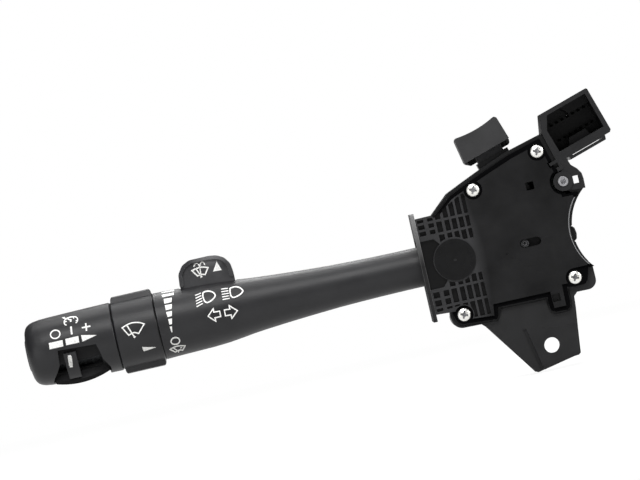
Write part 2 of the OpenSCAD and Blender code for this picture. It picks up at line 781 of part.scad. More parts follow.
module half_tube(y0, y1) {
  difference() {
    union() {
      intersection() {
        tube_shell();
        block(-140, 0, y0, y1, -20, 20);
      }
      intersection() {
        paddle_lugs();
        block(-140, 0, y0, y1, -20, 20);
      }
      // seat of the paddle's spring
      intersection() {
        tube_solid(1);
        block(-140, 0, y0, y1, -20, 20);
        rod_y(barrel_r, -14, tail_seat_y, -111, tail_z);
      }
    }
    rod_x(1.02, -130, -90, paddle_y, paddle_z);
  }
}

module stalk_front() {
  color([0.23, 0.23, 0.24]) seat() half_tube(-20, 0);
}

module stalk_rear() {
  color([0.23, 0.23, 0.24]) seat() half_tube(0, 20);
}

module stalk_root() {
  color([0.3, 0.3, 0.32]) seat() difference() {
    union() {
      rod_x(6.2, -36, tube_end_x + 0.5, 0, 0);
      block(tube_end_x, -3, -4.4, 4.4, -5.6, 5.6);
      translate([0, 0, -block_z]) cylinder(r = block_r, h = 2 * block_z);
      rod_x(8.6 - tube_wall, -38, -34, 0, 0);
    }
    translate([0, 0, -block_z - 1]) cylinder(r = pin_r + fit, h = 2 * block_z + 2);
    rod_x(3.6, -39, -6.8, 0, 0);
  }
}

module core_tube() {
  color([0.25, 0.25, 0.26]) seat() difference() {
    union() {
      rod_x(core_r, core_x, -128, 0, 0);
      rod_x(shoulder_r - tube_wall - 0.02, tube_x, tube_x + 3, 0, 0);
    }
    rod_x(core_r - 1.8, core_x - 1, -127, 0, 0);
  }
}

module wiper_disc() {
  color([0.75, 0.6, 0.35]) seat() difference() {
    rod_x(7.98, -142, -140, 0, 0);
    rod_x(3.6, -143, -139, 0, 0);
    for (a = [0:45:315]) rotate([a, 0, 0]) rod_x(0.8, -143, -139, 0, 6);
  }
}

module wiper_band() {
  color([0.24, 0.24, 0.25]) seat() difference() {
    union() {
      rotate([0, 90, 0]) rotate_extrude() polygon([[0, band_x0], [band_r - 0.5, band_x0],
        [band_r, band_x0 + 0.5], [band_r, band_x1 - 0.5], [band_r - 0.5, band_x1],
        [0, band_x1]]);
      // grip ridges with sloping sides and round ends
      for (s = [0, 180]) rotate([s, 0, 0]) intersection() {
        rod_x(ridge_r, band_x0 + 0.5, band_x1 - 0.5, 0, 0);
        slab(-7, 7) rounded_box(band_x0 + 0.5, band_x1 - 0.5, 8, ridge_r + 0.6, 2.4);
        translate([band_x0, 0, 0]) rotate([90, 0, 90]) linear_extrude(band_x1 - band_x0)
          polygon([[-ridge_w / 2 - 2.2, 13], [-ridge_w / 2, ridge_r + 0.4],
            [ridge_w / 2, ridge_r + 0.4], [ridge_w / 2 + 2.2, 13]]);
      }
    }
    rod_x(core_r + fit, band_x0 - 1, band_x1 + 1, 0, 0);
    rod_x(13, band_x0 + 4, band_x1 - 4, 0, 0);
    // detent notches round the inside, one for every wiper speed
    for (i = [-7:4]) rotate([13 * i, 0, 0]) rod_x(0.7, -146, -142, 0, 13);
  }
}

module band_leaf() {
  color([0.8, 0.8, 0.8]) seat() union() {
    tube_sector(-145, -143, core_r, core_r + 0.4, 200, 340);
    tube_sector(-145, -143, 10.1, 12.9, 268.5, 271.5);
  }
}

module wire_bundle() {
  color([0.5, 0.12, 0.1]) seat() for (a = [0:60:300]) rotate([a, 0, 0])
    rod_x(0.75, -162.2, -36, 0, 2.7);
}

module paddle_front() {
  polygon([[-123.5, 8], [-123.5, 15], [-122.9, 20.9], [-120.4, 24.5], [-116.8, 26.2],
    [-107.6, 26.2], [-104.4, 25.7], [-101.2, 24], [-99, 20.8], [-98.5, 16.8], [-98.4, 8]]);
}

module washer_paddle() {
  color([0.24, 0.24, 0.25]) seat() difference() {
    union() {
      slab(paddle_front_y, paddle_back_y) difference() {
        paddle_front();
        translate([-124, 7]) square([26, 4.8]);
      }
      // raised rim on the face
      slab(paddle_front_y - 1, paddle_front_y + 0.1) difference() {
        paddle_front();
        translate([-140, 0]) square([60, 15]);
        polygon([[-121.9, 10], [-121.4, 20.2], [-119.6, 23], [-116.4, 24.6],
          [-107.8, 24.6], [-104.8, 24.2], [-102.2, 22.8], [-100.5, 20], [-100.1, 10]]);
      }
      // hinge barrel, and the tail that the spring pushes
      rod_x(barrel_r, paddle_x0, paddle_x1, paddle_y, paddle_z);
      block(paddle_x0, paddle_x1, paddle_y - barrel_r, paddle_y + barrel_r, paddle_z, 12.4);
      block(-113.6, -108.4, tail_front_y, paddle_y + 1.8, tail_z - 1.7, paddle_z);
    }
    rod_x(1 + fit, -130, -90, paddle_y, paddle_z);
  }
}

module paddle_pin() {
  color([0.72, 0.72, 0.74]) seat() rod_x(1, -126.8, -95.2, paddle_y, paddle_z);
}

module paddle_spring() {
  color([0.7, 0.7, 0.72]) seat() translate([-111, tail_seat_y, tail_z]) rotate([0, 0, 90])
    coil(1.6, 0.4, tail_front_y - 0.7 - tail_seat_y, 5);
}

end_profile = concat([[end_x, 0], [end_x + 0.1, 4], [-197, 8], [-196.5, 10.8]],
  [for (p = [[-195.9, 3.4], [-195, 2.3], [-193.6, 1.5], [-192, 1], [-189, 0.6],
    [-184, 0.4], [-176, 0.25], [-166, 0.1], [module_x - 0.5, 0], [module_x, 0.4]])
    [p[0], end_r - p[1]]]);

// outline of the slider's well from the front, above its rounded lower edge
module well_outline() {
  polygon([[-182.8, -0.3], [-165.4, -1.2], [-164.4, -5], [-163.8, -8.4], [-161.4, -12.6],
    [-161.4, -14.2], [-188.2, -14.2], [-187.2, -12.4], [-185, -9.6], [-183.4, -6.9]]);
}

module end_module() {
  color([0.23, 0.23, 0.24]) seat() difference() {
    rotate([0, 90, 0]) rotate_extrude()
      polygon(concat([for (p = end_profile) [p[1], p[0]]], [[0, module_x]]));
    rod_x(floor_r + 0.1, -186, -160, 0, 0);
    rod_x(core_r + 0.02, -161, module_x + 1, 0, 0);
    slab(-20, 0) well_outline();
    tube_sector(well_x0 - 0.1, well_x1 + 0.1, 11, 20, 62, 112);
    // set button
    rod_x(button_r + gap, -200, -187.6, 0, 0);
    rod_x(2.6, -188, -185, 0, 0);
  }
}

// floor of the well, put in from inside, with the rounded lower edge that guards the slider
module slider_bezel() {
  mid = -176.5;
  edge = [for (i = [0:12]) let (x = well_x0 + (well_x1 - well_x0) * i / 12)
    [end_r + 1.3 - 1.8 * pow((x - mid) / 11.5, 2), x]];
  color([0.06, 0.06, 0.07]) seat() difference() {
    union() {
      tube_sector(-185.8, -161.6, floor_r - 1.1, floor_r, -14, 118);
      rotate([63, 0, 0]) rotate([90, 0, 90]) rotate([0, 0, 180]) rotate_extrude(angle = 48)
        polygon(concat([[floor_r - 0.4, well_x1], [floor_r - 0.4, well_x0]], edge));
    }
    // slot for the slider's stem
    tube_sector(-185.2, -164.2, 10, 14, 31, 59);
  }
}

module cruise_slider() {
  color([0.33, 0.33, 0.34]) seat() union() {
    tube_sector(knob_x - slider_w / 2, knob_x + slider_w / 2, floor_r + gap, end_r + 1, 8.5, 58);
    tube_sector(knob_x - 1.6, knob_x + 1.6, 10.4, floor_r + 1, 33, 57);
  }
}

module slider_ball() {
  color([0.8, 0.8, 0.8]) seat() rotate([45, 0, 0]) translate([knob_x, -9.4, 0]) sphere(r = 1);
}

module cruise_board() {
  color([0.1, 0.35, 0.2]) seat() union() {
    rotate([45, 0, 0]) block(-185.6, -163, board_y, -7, -board_half, board_half);
    rod_x(9.3, -163.2, -162.2, 0, 0);
  }
}

module set_button() {
  color([0.26, 0.26, 0.27]) seat() difference() {
    union() {
      intersection() {
        rod_x(button_r, -199, -191.6, 0, 0);
        rotate([0, 90, 0]) rotate_extrude()
          polygon(concat([for (p = end_profile) [p[1], p[0] - gap]], [[0, module_x - gap]]));
      }
      rod_x(2.2, -192, -188.4, 0, 0);
    }
    rod_x(4, -200, -197.3, 0, 0);
  }
}

module set_spring() {
  color([0.7, 0.7, 0.72]) seat() translate([-187.6, 0, 0]) rotate([0, 0, 180])
    coil(3.3, 0.4, 3.9 - button_travel, 2);
}

// hazard pieces, drawn along the leaning axes

module hazard_button() {
  color([0.25, 0.25, 0.26]) seat() leaning() difference() {
    slab(-9, 7) difference() {
      polygon([[28, 32.6], [25.8, 34.4], [25.5, 35.4], [26.5, 45.6], [26.8, 46.3],
        [27.6, 46.9], [46.4, 47], [47.5, 46.7], [48.2, 45.8], [48.5, 34.4], [48.1, 33.2],
        [47.2, 32.6]]);
      // finger hollow
      translate([37.3, 95.6]) circle(r = 49.7, $fn = 180);
    }
    // hollow skirt, lower at the rear
    block(27.4, 47, -7.4, 5.4, 20, 43.6);
    block(20, 60, -12, -1, 20, 35);
  }
}

module hazard_plunger() {
  color([0.2, 0.2, 0.21]) seat() leaning() difference() {
    union() {
      block(31, 44, -4, 4, 22, 40.5);
      block(33, 42, -3.6, 3.6, 19.4, 22.5);
      for (x = [32, 42]) block(x, x + 1, -6.6, 4.6, 38, 43.6);
      block(29, 46, -2, 2, 40, 43.6);
    }
    translate([37.5, 0, 18]) cylinder(r = 2.9, h = 8 + hazard_travel);
  }
}

module hazard_spring() {
  color([0.7, 0.7, 0.72]) seat() leaning() translate([37.5, 0, 6.8]) rotate([0, -90, 0])
    coil(2.6, 0.5, 18, 8);
}

housing();
cover();
cover_screws();
dust_shield();
mounting_bracket();
connector_block();
connector_pins();
connector_rivet();
circuit_board();
detent_cam();
turn_carrier();
beam_pin();
detent_plunger();
detent_spring();
turn_slider();
cancel_pawl();
cancel_spring();
stalk_front();
stalk_rear();
stalk_root();
core_tube();
wiper_disc();
wiper_band();
band_leaf();
wire_bundle();
washer_paddle();
paddle_pin();
paddle_spring();
end_module();
slider_bezel();
cruise_slider();
cruise_board();
set_button();
set_spring();
hazard_button();
hazard_plunger();
hazard_spring();
slider_ball();
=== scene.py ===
import json
import math

import bpy
from mathutils import Matrix, Vector

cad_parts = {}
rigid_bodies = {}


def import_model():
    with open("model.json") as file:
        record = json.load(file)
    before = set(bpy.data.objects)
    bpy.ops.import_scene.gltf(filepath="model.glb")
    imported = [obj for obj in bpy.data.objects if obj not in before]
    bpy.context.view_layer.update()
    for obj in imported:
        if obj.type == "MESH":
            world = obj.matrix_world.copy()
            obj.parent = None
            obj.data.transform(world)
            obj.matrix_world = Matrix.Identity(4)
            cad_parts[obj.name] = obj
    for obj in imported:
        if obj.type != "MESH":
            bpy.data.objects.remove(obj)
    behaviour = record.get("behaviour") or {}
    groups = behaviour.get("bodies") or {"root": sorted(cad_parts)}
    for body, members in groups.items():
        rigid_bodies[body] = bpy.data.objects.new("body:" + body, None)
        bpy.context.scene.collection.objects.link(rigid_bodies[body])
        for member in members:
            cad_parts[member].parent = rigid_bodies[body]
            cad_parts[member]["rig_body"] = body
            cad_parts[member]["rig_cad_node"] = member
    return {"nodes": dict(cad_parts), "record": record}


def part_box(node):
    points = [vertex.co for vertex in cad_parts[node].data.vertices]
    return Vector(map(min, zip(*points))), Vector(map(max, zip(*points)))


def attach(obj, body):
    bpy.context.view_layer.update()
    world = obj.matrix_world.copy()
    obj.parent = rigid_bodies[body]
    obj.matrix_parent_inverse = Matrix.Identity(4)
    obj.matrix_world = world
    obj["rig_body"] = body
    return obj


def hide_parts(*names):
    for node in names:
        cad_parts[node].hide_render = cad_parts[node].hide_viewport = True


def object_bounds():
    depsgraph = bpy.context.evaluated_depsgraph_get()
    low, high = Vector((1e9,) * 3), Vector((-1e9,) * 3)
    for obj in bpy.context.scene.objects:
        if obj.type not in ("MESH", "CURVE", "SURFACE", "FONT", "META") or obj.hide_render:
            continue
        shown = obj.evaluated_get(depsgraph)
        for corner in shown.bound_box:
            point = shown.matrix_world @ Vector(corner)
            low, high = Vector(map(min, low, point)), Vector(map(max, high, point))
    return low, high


bl_info = {
    "name": "Column Switch Dresser",
    "version": (1, 0, 0),
    "blender": (4, 5, 0),
    "location": "View3D > Sidebar > Column Switch",
    "description": "Dresses a steering column switch with rounded shells, finishes and control symbols",
    "category": "Object",
}

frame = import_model()
CAD_BOX = [list(corner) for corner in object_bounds()]
BODY_OF = {node: body for body, nodes in frame["record"]["behaviour"]["bodies"].items() for node in nodes}

MM = 0.001
# lean of the wiring socket and the hazard button
SOCKET_TILT = math.radians(17.2)
# the cover screws, in mm right of and above the lever's pivot
SCREW_AT = ((14.7, 28.5), (46.5, 39.1), (50.7, -19.8), (-1.5, -25.1))
# the lever's pivot in the row frame, in mm: symbols are drawn from it
PIVOT = Vector((-34.0, 10.0, 47.2))
# how far the column unit leans in the view, and the middle of the view in mm
LEAN = math.radians(12.85)
VIEW_MIDDLE = Vector((-91.1, -4.5, 69.15))
VIEW_WIDTH = 286.9
VIEW_DISTANCE = 1900.0
# the cover, in mm from the pivot: level of its low rim, radius of its boss, and the column recess
RIM_LEVEL = -13.7
BOSS_RADIUS = 9.6
RECESS_MIDDLE = Vector((77.1, -0.1))
RECESS_LIP_RADIUS = 24.5
# flat shapes are drawn at this y, with points at most these lengths apart in lines and areas, in mm
DRAWN_AT = -30.0
LINE_STEP = 0.35
AREA_STEP = 0.4


def linear(code):
    """The linear colour of an sRGB hex code, with full alpha."""
    parts = [int(code[i:i + 2], 16) / 255 for i in (1, 3, 5)]
    return tuple(c / 12.92 if c <= 0.04045 else ((c + 0.055) / 1.055) ** 2.4 for c in parts) + (1.0,)


# settings


class ShellSettings(bpy.types.PropertyGroup):
    edge: bpy.props.FloatProperty(
        name="Edge rounding", description="Radius of the moulded edges of the big shells",
        default=0.25 * MM, min=0.05 * MM, max=0.6 * MM, subtype="DISTANCE", unit="LENGTH")
    fine_edge: bpy.props.FloatProperty(
        name="Fine edge rounding", description="Radius of the edges of ribs and small pieces",
        default=0.12 * MM, min=0.03 * MM, max=0.4 * MM, subtype="DISTANCE", unit="LENGTH")
    smooth: bpy.props.FloatProperty(
        name="Smooth angle", description="Faces that meet at less than this are shaded as one",
        default=math.radians(32), subtype="ANGLE", unit="ROTATION")
    lever: bpy.props.FloatVectorProperty(
        name="Lever", description="Colour of the lever's plastic", subtype="COLOR", size=4,
        default=linear("#202022"), min=0, max=1)
    housing: bpy.props.FloatVectorProperty(
        name="Housing", description="Colour of the housing's plastic", subtype="COLOR", size=4,
        default=linear("#09090a"), min=0, max=1)
    cover: bpy.props.FloatVectorProperty(
        name="Cover", description="Colour of the cover plate's plastic", subtype="COLOR", size=4,
        default=linear("#0c0c0d"), min=0, max=1)


class PrintSettings(bpy.types.PropertyGroup):
    height: bpy.props.FloatProperty(
        name="Ink height", description="How far the print stands above the plastic",
        default=0.04 * MM, min=0.01 * MM, max=0.1 * MM, subtype="DISTANCE", unit="LENGTH")
    line: bpy.props.FloatProperty(
        name="Line width", description="Width of the symbols' lines",
        default=0.62 * MM, min=0.3 * MM, max=1.0 * MM, subtype="DISTANCE", unit="LENGTH")
    ink: bpy.props.FloatVectorProperty(
        name="Ink", description="Colour of the printed symbols", subtype="COLOR", size=4,
        default=linear("#fbfbf9"), min=0, max=1)


# materials


def add_node(tree, kind, inputs=None, **settings):
    """Adds a node, sets its settings and fills its inputs with values or links."""
    node = tree.nodes.new(kind)
    for key, value in settings.items():
        setattr(node, key, value)
    for key, value in (inputs or {}).items():
        if isinstance(value, bpy.types.NodeSocket):
            tree.links.new(value, node.inputs[key])
        else:
            node.inputs[key].default_value = value
    return node


def start_material(name):
    """A new material of that name, with its tree, shader and object coordinates."""
    material = bpy.data.materials.new(name)
    material.use_nodes = True
    tree = material.node_tree
    tree.nodes.clear()
    shader = add_node(tree, "ShaderNodeBsdfPrincipled")
    add_node(tree, "ShaderNodeOutputMaterial", {"Surface": shader.outputs[0]})
    place = add_node(tree, "ShaderNodeTexCoord").outputs["Object"]
    return material, tree, shader, place


def noise(tree, place, size, detail=2.0, roughness=0.5, distortion=0.0):
    """Noise with blobs of about that size in mm."""
    return add_node(tree, "ShaderNodeTexNoise", {
        "Vector": place, "Scale": 1 / (size * MM), "Detail": detail,
        "Roughness": roughness, "Distortion": distortion}).outputs[0]


def fitted(tree, value, low, high, start=0.0, end=1.0):
    """Fits the stretch of a value from start to end between low and high."""
    return add_node(tree, "ShaderNodeMapRange", {
        "Value": value, "From Min": start, "From Max": end, "To Min": low, "To Max": high}).outputs[0]


def mixed(tree, share, colour, other):
    """Mixes a share of the other colour into a colour."""
    return add_node(tree, "ShaderNodeMix", {0: share, 6: colour, 7: other}, data_type="RGBA").outputs[2]


def relief(tree, height, strength, depth):
    """The surface's direction over a relief whose depth is in mm."""
    return add_node(tree, "ShaderNodeBump", {
        "Height": height, "Strength": strength, "Distance": depth * MM}).outputs[0]


def feed(tree, shader, colour, roughness, normal=None):
    """Links a colour, a roughness and a surface direction to the shader."""
    tree.links.new(colour, shader.inputs["Base Color"])
    tree.links.new(roughness, shader.inputs["Roughness"])
    if normal:
        tree.links.new(normal, shader.inputs["Normal"])


def moulded_plastic(name, colour, wear_and_highlight_tone, roughness, grain, depth, wear, flow=18.0, shine=0.3, spot=None):
    """Moulded plastic: eroded grain and faint flow marks, rubbed towards a paler tone by wear.

    grain and flow are the sizes of those marks in mm, and depth is how deep the grain is. spot is
    an oval painted towards the paler tone, which on the shield is a painted highlight from the light above:
    its middle and half sizes in mm, the share of the paler tone added there, and how far out in the oval, from
    0 to 1, that share starts to fade."""
    material, tree, shader, place = start_material(name)
    fine = noise(tree, place, grain, detail=3.0, roughness=0.6)
    cloudy = noise(tree, place, flow, detail=4.0, roughness=0.55)
    gloss = fitted(tree, cloudy, roughness - 0.04, roughness + 0.05, start=0.3, end=0.7)
    speck = fitted(tree, fine, -0.03, 0.03, start=0.3, end=0.7)
    total = add_node(tree, "ShaderNodeMath", {0: gloss, 1: speck}, operation="ADD").outputs[0]
    share = fitted(tree, cloudy, wear, wear * 1.3 + 0.08, start=0.35, end=0.7)
    if spot:
        middle, half, most, fade = spot
        offset = add_node(
            tree, "ShaderNodeVectorMath", {0: place, 1: [v * MM for v in middle]}, operation="SUBTRACT")
        halves = add_node(
            tree, "ShaderNodeVectorMath", {0: offset.outputs[0], 1: [1 / (v * MM) for v in half]},
            operation="MULTIPLY")
        away = add_node(tree, "ShaderNodeVectorMath", {0: halves.outputs[0]}, operation="LENGTH")
        extra = fitted(tree, away.outputs["Value"], most, 0.0, start=fade)
        share = add_node(
            tree, "ShaderNodeMath", {0: share, 1: extra}, operation="ADD", use_clamp=True).outputs[0]
    feed(tree, shader, mixed(tree, share, colour, wear_and_highlight_tone), total, relief(tree, fine, 0.5, depth))
    shader.inputs["IOR"].default_value = 1.53
    shader.inputs["Specular IOR Level"].default_value = shine
    return material


def metal(name, colour, shade, roughness, stretch=(1.0, 1.0, 1.0)):
    """Bare or plated metal: fine marks along the way it was worked, and a clouded shine."""
    material, tree, shader, place = start_material(name)
    along = add_node(tree, "ShaderNodeMapping", {"Vector": place, "Scale": stretch}).outputs[0]
    marks = noise(tree, along, 0.5, detail=4.0, roughness=0.6)
    cloudy = noise(tree, place, 2.5)
    gloss = fitted(tree, marks, roughness * 0.7, roughness * 1.3, start=0.3, end=0.7)
    feed(tree, shader, mixed(tree, cloudy, colour, shade), gloss, relief(tree, marks, 0.25, 0.02))
    shader.inputs["Metallic"].default_value = 1.0
    return material


def natural_acetal(name, colour, shade):
    """Acetal left in its own milky white: slippery satin with faint swirls from the mould."""
    material, tree, shader, place = start_material(name)
    swirl = noise(tree, place, 6.0, detail=3.0, distortion=1.2)
    fine = noise(tree, place, 0.3)
    gloss = fitted(tree, swirl, 0.32, 0.46)
    feed(tree, shader, mixed(tree, swirl, colour, shade), gloss, relief(tree, fine, 0.3, 0.01))
    shader.inputs["IOR"].default_value = 1.48
    shader.inputs["Subsurface Weight"].default_value = 0.1
    shader.inputs["Subsurface Scale"].default_value = 0.5 * MM
    return material


def board_laminate(name, mask, lane):
    """Glass-epoxy board: solder mask over copper tracks that show as paler lanes."""
    material, tree, shader, place = start_material(name)
    lanes = add_node(
        tree, "ShaderNodeTexVoronoi", {"Vector": place, "Scale": 1 / (3.2 * MM), "Randomness": 0.25},
        distance="CHEBYCHEV", feature="F1")
    edge = add_node(
        tree, "ShaderNodeMath", {0: lanes.outputs["Distance"], 1: 0.42}, operation="GREATER_THAN").outputs[0]
    gloss = fitted(tree, noise(tree, place, 0.5), 0.22, 0.36)
    feed(tree, shader, mixed(tree, edge, mask, lane), gloss, relief(tree, edge, 0.4, 0.03))
    shader.inputs["IOR"].default_value = 1.55
    return material


def wire_jackets(name):
    """PVC jackets of six wires round the lever's axis, each in its own colour."""
    material, tree, shader, place = start_material(name)
    to_axis = (0, -PIVOT.y * MM, -PIVOT.z * MM)
    centred = add_node(tree, "ShaderNodeMapping", {"Vector": place, "Location": to_axis})
    parts = add_node(tree, "ShaderNodeSeparateXYZ", {"Vector": centred.outputs[0]})
    angle = add_node(
        tree, "ShaderNodeMath", {0: parts.outputs[2], 1: parts.outputs[1]}, operation="ARCTAN2").outputs[0]
    turn = fitted(tree, angle, 0.0, 1.0, start=-math.pi, end=math.pi)
    ramp = add_node(tree, "ShaderNodeValToRGB", {"Fac": turn})
    stops = ramp.color_ramp.elements
    ramp.color_ramp.interpolation = "CONSTANT"
    jackets = ("#b3261d", "#d9c23a", "#1f1f22", "#2f6db0", "#e3e0d8", "#3c8a4a")
    for i, code in enumerate(jackets):
        stop = stops.new((i + 0.01) / len(jackets)) if i else stops[0]
        stop.color = linear(code)
    stops.remove(stops[-1])
    gloss = fitted(tree, noise(tree, place, 0.6), 0.35, 0.5)
    feed(tree, shader, ramp.outputs[0], gloss)
    shader.inputs["IOR"].default_value = 1.53
    return material


def printed_ink(name, colour):
    """Pad-printed white ink: even and chalky, a little thin where the pad left it."""
    material, tree, shader, place = start_material(name)
    thin = noise(tree, place, 0.7, detail=3.0)
    share = fitted(tree, thin, 0.0, 0.4, start=0.5, end=0.75)
    feed(tree, shader, mixed(tree, share, colour, linear("#8f8f8c")), fitted(tree, thin, 0.5, 0.65))
    shader.inputs["IOR"].default_value = 1.5
    return material


FINISHES = {}
PLASTICS = (
    "lever", "module", "housing", "cover", "bracket", "shield", "paddle", "cap", "socket", "bezel",
    "core", "black_acetal")


def finish(kind, rubbed=False):
    """The material of that kind, made on its first use; rubbed is its paler form on worn edges."""
    if (kind, rubbed) in FINISHES:
        return FINISHES[kind, rubbed]
    shells = bpy.context.scene.switch_shells
    last = "_rubbed_edge" if rubbed else ""

    def plastic(name, colour, wear_and_highlight_tone, wear=0.0, **more):
        """A moulded plastic whose wear is there only in its rubbed form."""
        return moulded_plastic(name + last, colour, linear(wear_and_highlight_tone), wear=wear if rubbed else 0.0, **more)

    makers = {
        # PA6 lever from an eroded matt mould: a soft broad shine on charcoal
        "lever": lambda: plastic(
            "textured_nylon_lever", shells.lever, "#5a5a5c", roughness=0.46, grain=0.35, depth=0.05, wear=0.1),
        # ABS end module, a touch smoother than the lever
        "module": lambda: plastic(
            "satin_abs_module", shells.lever, "#58585a", roughness=0.42, grain=0.3, depth=0.04, wear=0.1),
        # PBT housing shell: near black, semi-gloss
        "housing": lambda: plastic(
            "glossy_pbt_housing", shells.housing, "#39393b", roughness=0.36, grain=0.8, depth=0.03, wear=0.3),
        # PBT cover plate: paler in an oval over the ribs left of the pivot
        "cover": lambda: plastic(
            "satin_pbt_cover", shells.cover, "#5a5a5c", roughness=0.4, grain=0.5, depth=0.04, wear=0.4,
            shine=0.2, spot=((PIVOT.x - 15, 0, PIVOT.z), (29, 100, 60), 0.27, 0.82)),
        # front bearing boss: smooth, and as black as the plate
        "cover_boss": lambda: plastic(
            "smooth_pbt_boss", shells.cover, "#2c2c2e", roughness=0.38, grain=0.4, depth=0.02, flow=5.0,
            shine=0.2),
        # painted shade: the sunk floors of cover and socket, and the wiper band's inner end at its seam,
        # painted near black for the shade that falls in them
        "painted_shade_floor": lambda: plastic(
            "shade_darkened_pbt_floor", linear("#0a0a0b"), "#161617", roughness=0.34, grain=0.8, depth=0.03,
            shine=0.2),
        # painted shade: the cover's low rim round the raised plate, black and without shine, so that it draws
        # the black line of the shade in the gap below the plate's edge
        "cover_rim_painted_shade": lambda: plastic(
            "shade_black_pbt_rim", linear("#0b0b0c"), "#161617", roughness=0.6, grain=0.5, depth=0.03, shine=0.0),
        # painted highlight: thin lip along the column recess, painted pale grey and glossy as the glint of
        # light along its edge
        "cover_lip_glint": lambda: plastic(
            "glint_painted_pbt_lip", linear("#8e8e90"), "#b4b4b6", roughness=0.25, grain=0.8, depth=0.02),
        # glass-filled PA66 bracket: fibres near the skin give a dull streaky black
        "bracket": lambda: plastic(
            "glass_filled_nylon_bracket", linear("#1a1a1b"), "#38383a", roughness=0.44, grain=0.6, depth=0.05,
            wear=0.3, flow=9.0),
        # TPE shield: dull black, paler on its edges; towards its top a painted highlight, paler where light
        # falls from above
        "shield": lambda: plastic(
            "matt_tpe_shield", linear("#0e0e0f"), "#a8a8a9", roughness=0.6, grain=0.4, depth=0.05, wear=0.1,
            shine=0.12, spot=((PIVOT.x - 14, -4, PIVOT.z + 30), (40, 40, 30), 0.65, 0.1)),
        # ABS paddle: paler at its top
        "paddle": lambda: plastic(
            "satin_abs_paddle", linear("#303032"), "#b0b0b2", roughness=0.42, grain=0.3, depth=0.04, wear=0.3,
            spot=((PIVOT.x - 106, -8, PIVOT.z + 27), (16, 20, 9), 0.75, 0.2)),
        # ABS hazard and set buttons with a fine texture
        "cap": lambda: plastic(
            "fine_texture_abs_cap", linear("#2f2f30"), "#6c6c6e", roughness=0.45, grain=0.3, depth=0.04,
            wear=0.25),
        # PBT wiring socket: smooth and black, its rims rubbed paler by plugs
        "socket": lambda: plastic(
            "glossy_pbt_socket", linear("#1c1c1d"), "#4c4c4e", roughness=0.36, grain=0.7, depth=0.03,
            wear=0.4),
        # black ABS track of the cruise slider, smoother than the module round it
        "bezel": lambda: plastic(
            "glossy_abs_track", linear("#1c1c1d"), "#303032", roughness=0.42, grain=0.9, depth=0.01, wear=0.2,
            shine=0.1),
        # the lower lip of that track, dulled by dust so that it mirrors nothing
        "track_lip": lambda: plastic(
            "dust_dulled_abs_lip", linear("#29292a"), "#3e3e3f", roughness=0.7, grain=0.4, depth=0.02,
            shine=0.0),
        # dark unpainted nylon of the core, the root and the hazard button's stem
        "core": lambda: plastic(
            "dark_nylon_core", linear("#252527"), "#4a4a4c", roughness=0.5, grain=0.4, depth=0.04, wear=0.3),
        # black acetal pawl: waxy, with a low even shine
        "black_acetal": lambda: plastic(
            "black_acetal", linear("#0c0c0d"), "#68686a", roughness=0.4, grain=0.6, depth=0.02, wear=0.45,
            shine=0.12),
        # bright zinc plate on pressed steel screws: cool grey with a trace of yellow
        "zinc": lambda: metal("zinc_plated_screw", linear("#f2f3f3"), linear("#dfdcd2"), 0.42),
        # the screws' cross recesses: painted shade, darker than the heads, and rougher
        "recess": lambda: metal("shade_painted_cross_recess", linear("#b6b6b8"), linear("#5c5c5e"), 0.6),
        # ground steel of the pins, the detent plunger and the slider's ball
        "steel": lambda: metal(
            "ground_steel_pin", linear("#b9bbbe"), linear("#9b9da1"), 0.2, stretch=(0.1, 1.0, 1.0)),
        # music wire of the coil springs and the band's leaf
        "spring": lambda: metal("music_wire_spring", linear("#a5a7ab"), linear("#7f8288"), 0.26),
        # rivet left in dull drawn steel
        "rivet": lambda: metal("dull_steel_rivet", linear("#c4c4c6"), linear("#8e8e92"), 0.46),
        # tinned terminals and contact slider, painted near black as painted shade so that they hardly show in
        # the dark
        "terminal": lambda: metal(
            "shade_painted_tinned_terminal", linear("#0c0c0b"), linear("#080808"), 0.65, stretch=(1.0, 0.2, 1.0)),
        # phosphor bronze of the contact disc, brown and half bright
        "bronze": lambda: metal("phosphor_bronze_disc", linear("#b98a4a"), linear("#9a6f38"), 0.3),
        # natural acetal of the detent cam and the swivel carrier
        "acetal": lambda: natural_acetal("natural_acetal", linear("#d9d5c8"), linear("#c6c0ae")),
        # main board under green solder mask
        "board": lambda: board_laminate("green_board_laminate", linear("#0f3a22"), linear("#2b6a3c")),
        # cruise board under black solder mask, whose lanes hardly show; its mask painted lighter than black, a
        # painted light for the shaded well it sits in
        "black_board": lambda: board_laminate("lightened_black_board_laminate", linear("#3a3b3d"), linear("#4a4c4e")),
        # the six wires in the lever
        "wires": lambda: wire_jackets("pvc_wire_jackets"),
        # the white print of all symbols
        "ink": lambda: printed_ink("white_pad_print", bpy.context.scene.switch_print.ink),
    }
    FINISHES[kind, rubbed] = makers[kind]()
    return FINISHES[kind, rubbed]


def paint_node(node, kind):
    """Gives a CAD node that stays its finish."""
    slots = frame["nodes"][node].data.materials
    slots.clear()
    slots.append(finish(kind))


# modelling tools


def deselect():
    """Leaves edit mode and selects nothing."""
    if bpy.context.object and bpy.context.object.mode != "OBJECT":
        bpy.ops.object.mode_set(mode="OBJECT")
    bpy.ops.object.select_all(action="DESELECT")


def activate(piece):
    """Selects one piece alone and makes it the active one."""
    deselect()
    piece.hide_viewport = False
    piece.select_set(True)
    bpy.context.view_layer.objects.active = piece


def apply_modifier(piece, kind, **settings):
    """Adds a modifier to the active piece, sets it and applies it."""
    activate(piece)
    bpy.ops.object.modifier_add(type=kind)
    modifier = piece.modifiers[-1]
    for key, value in settings.items():
        setattr(modifier, key, value)
    bpy.ops.object.modifier_apply(modifier=modifier.name)


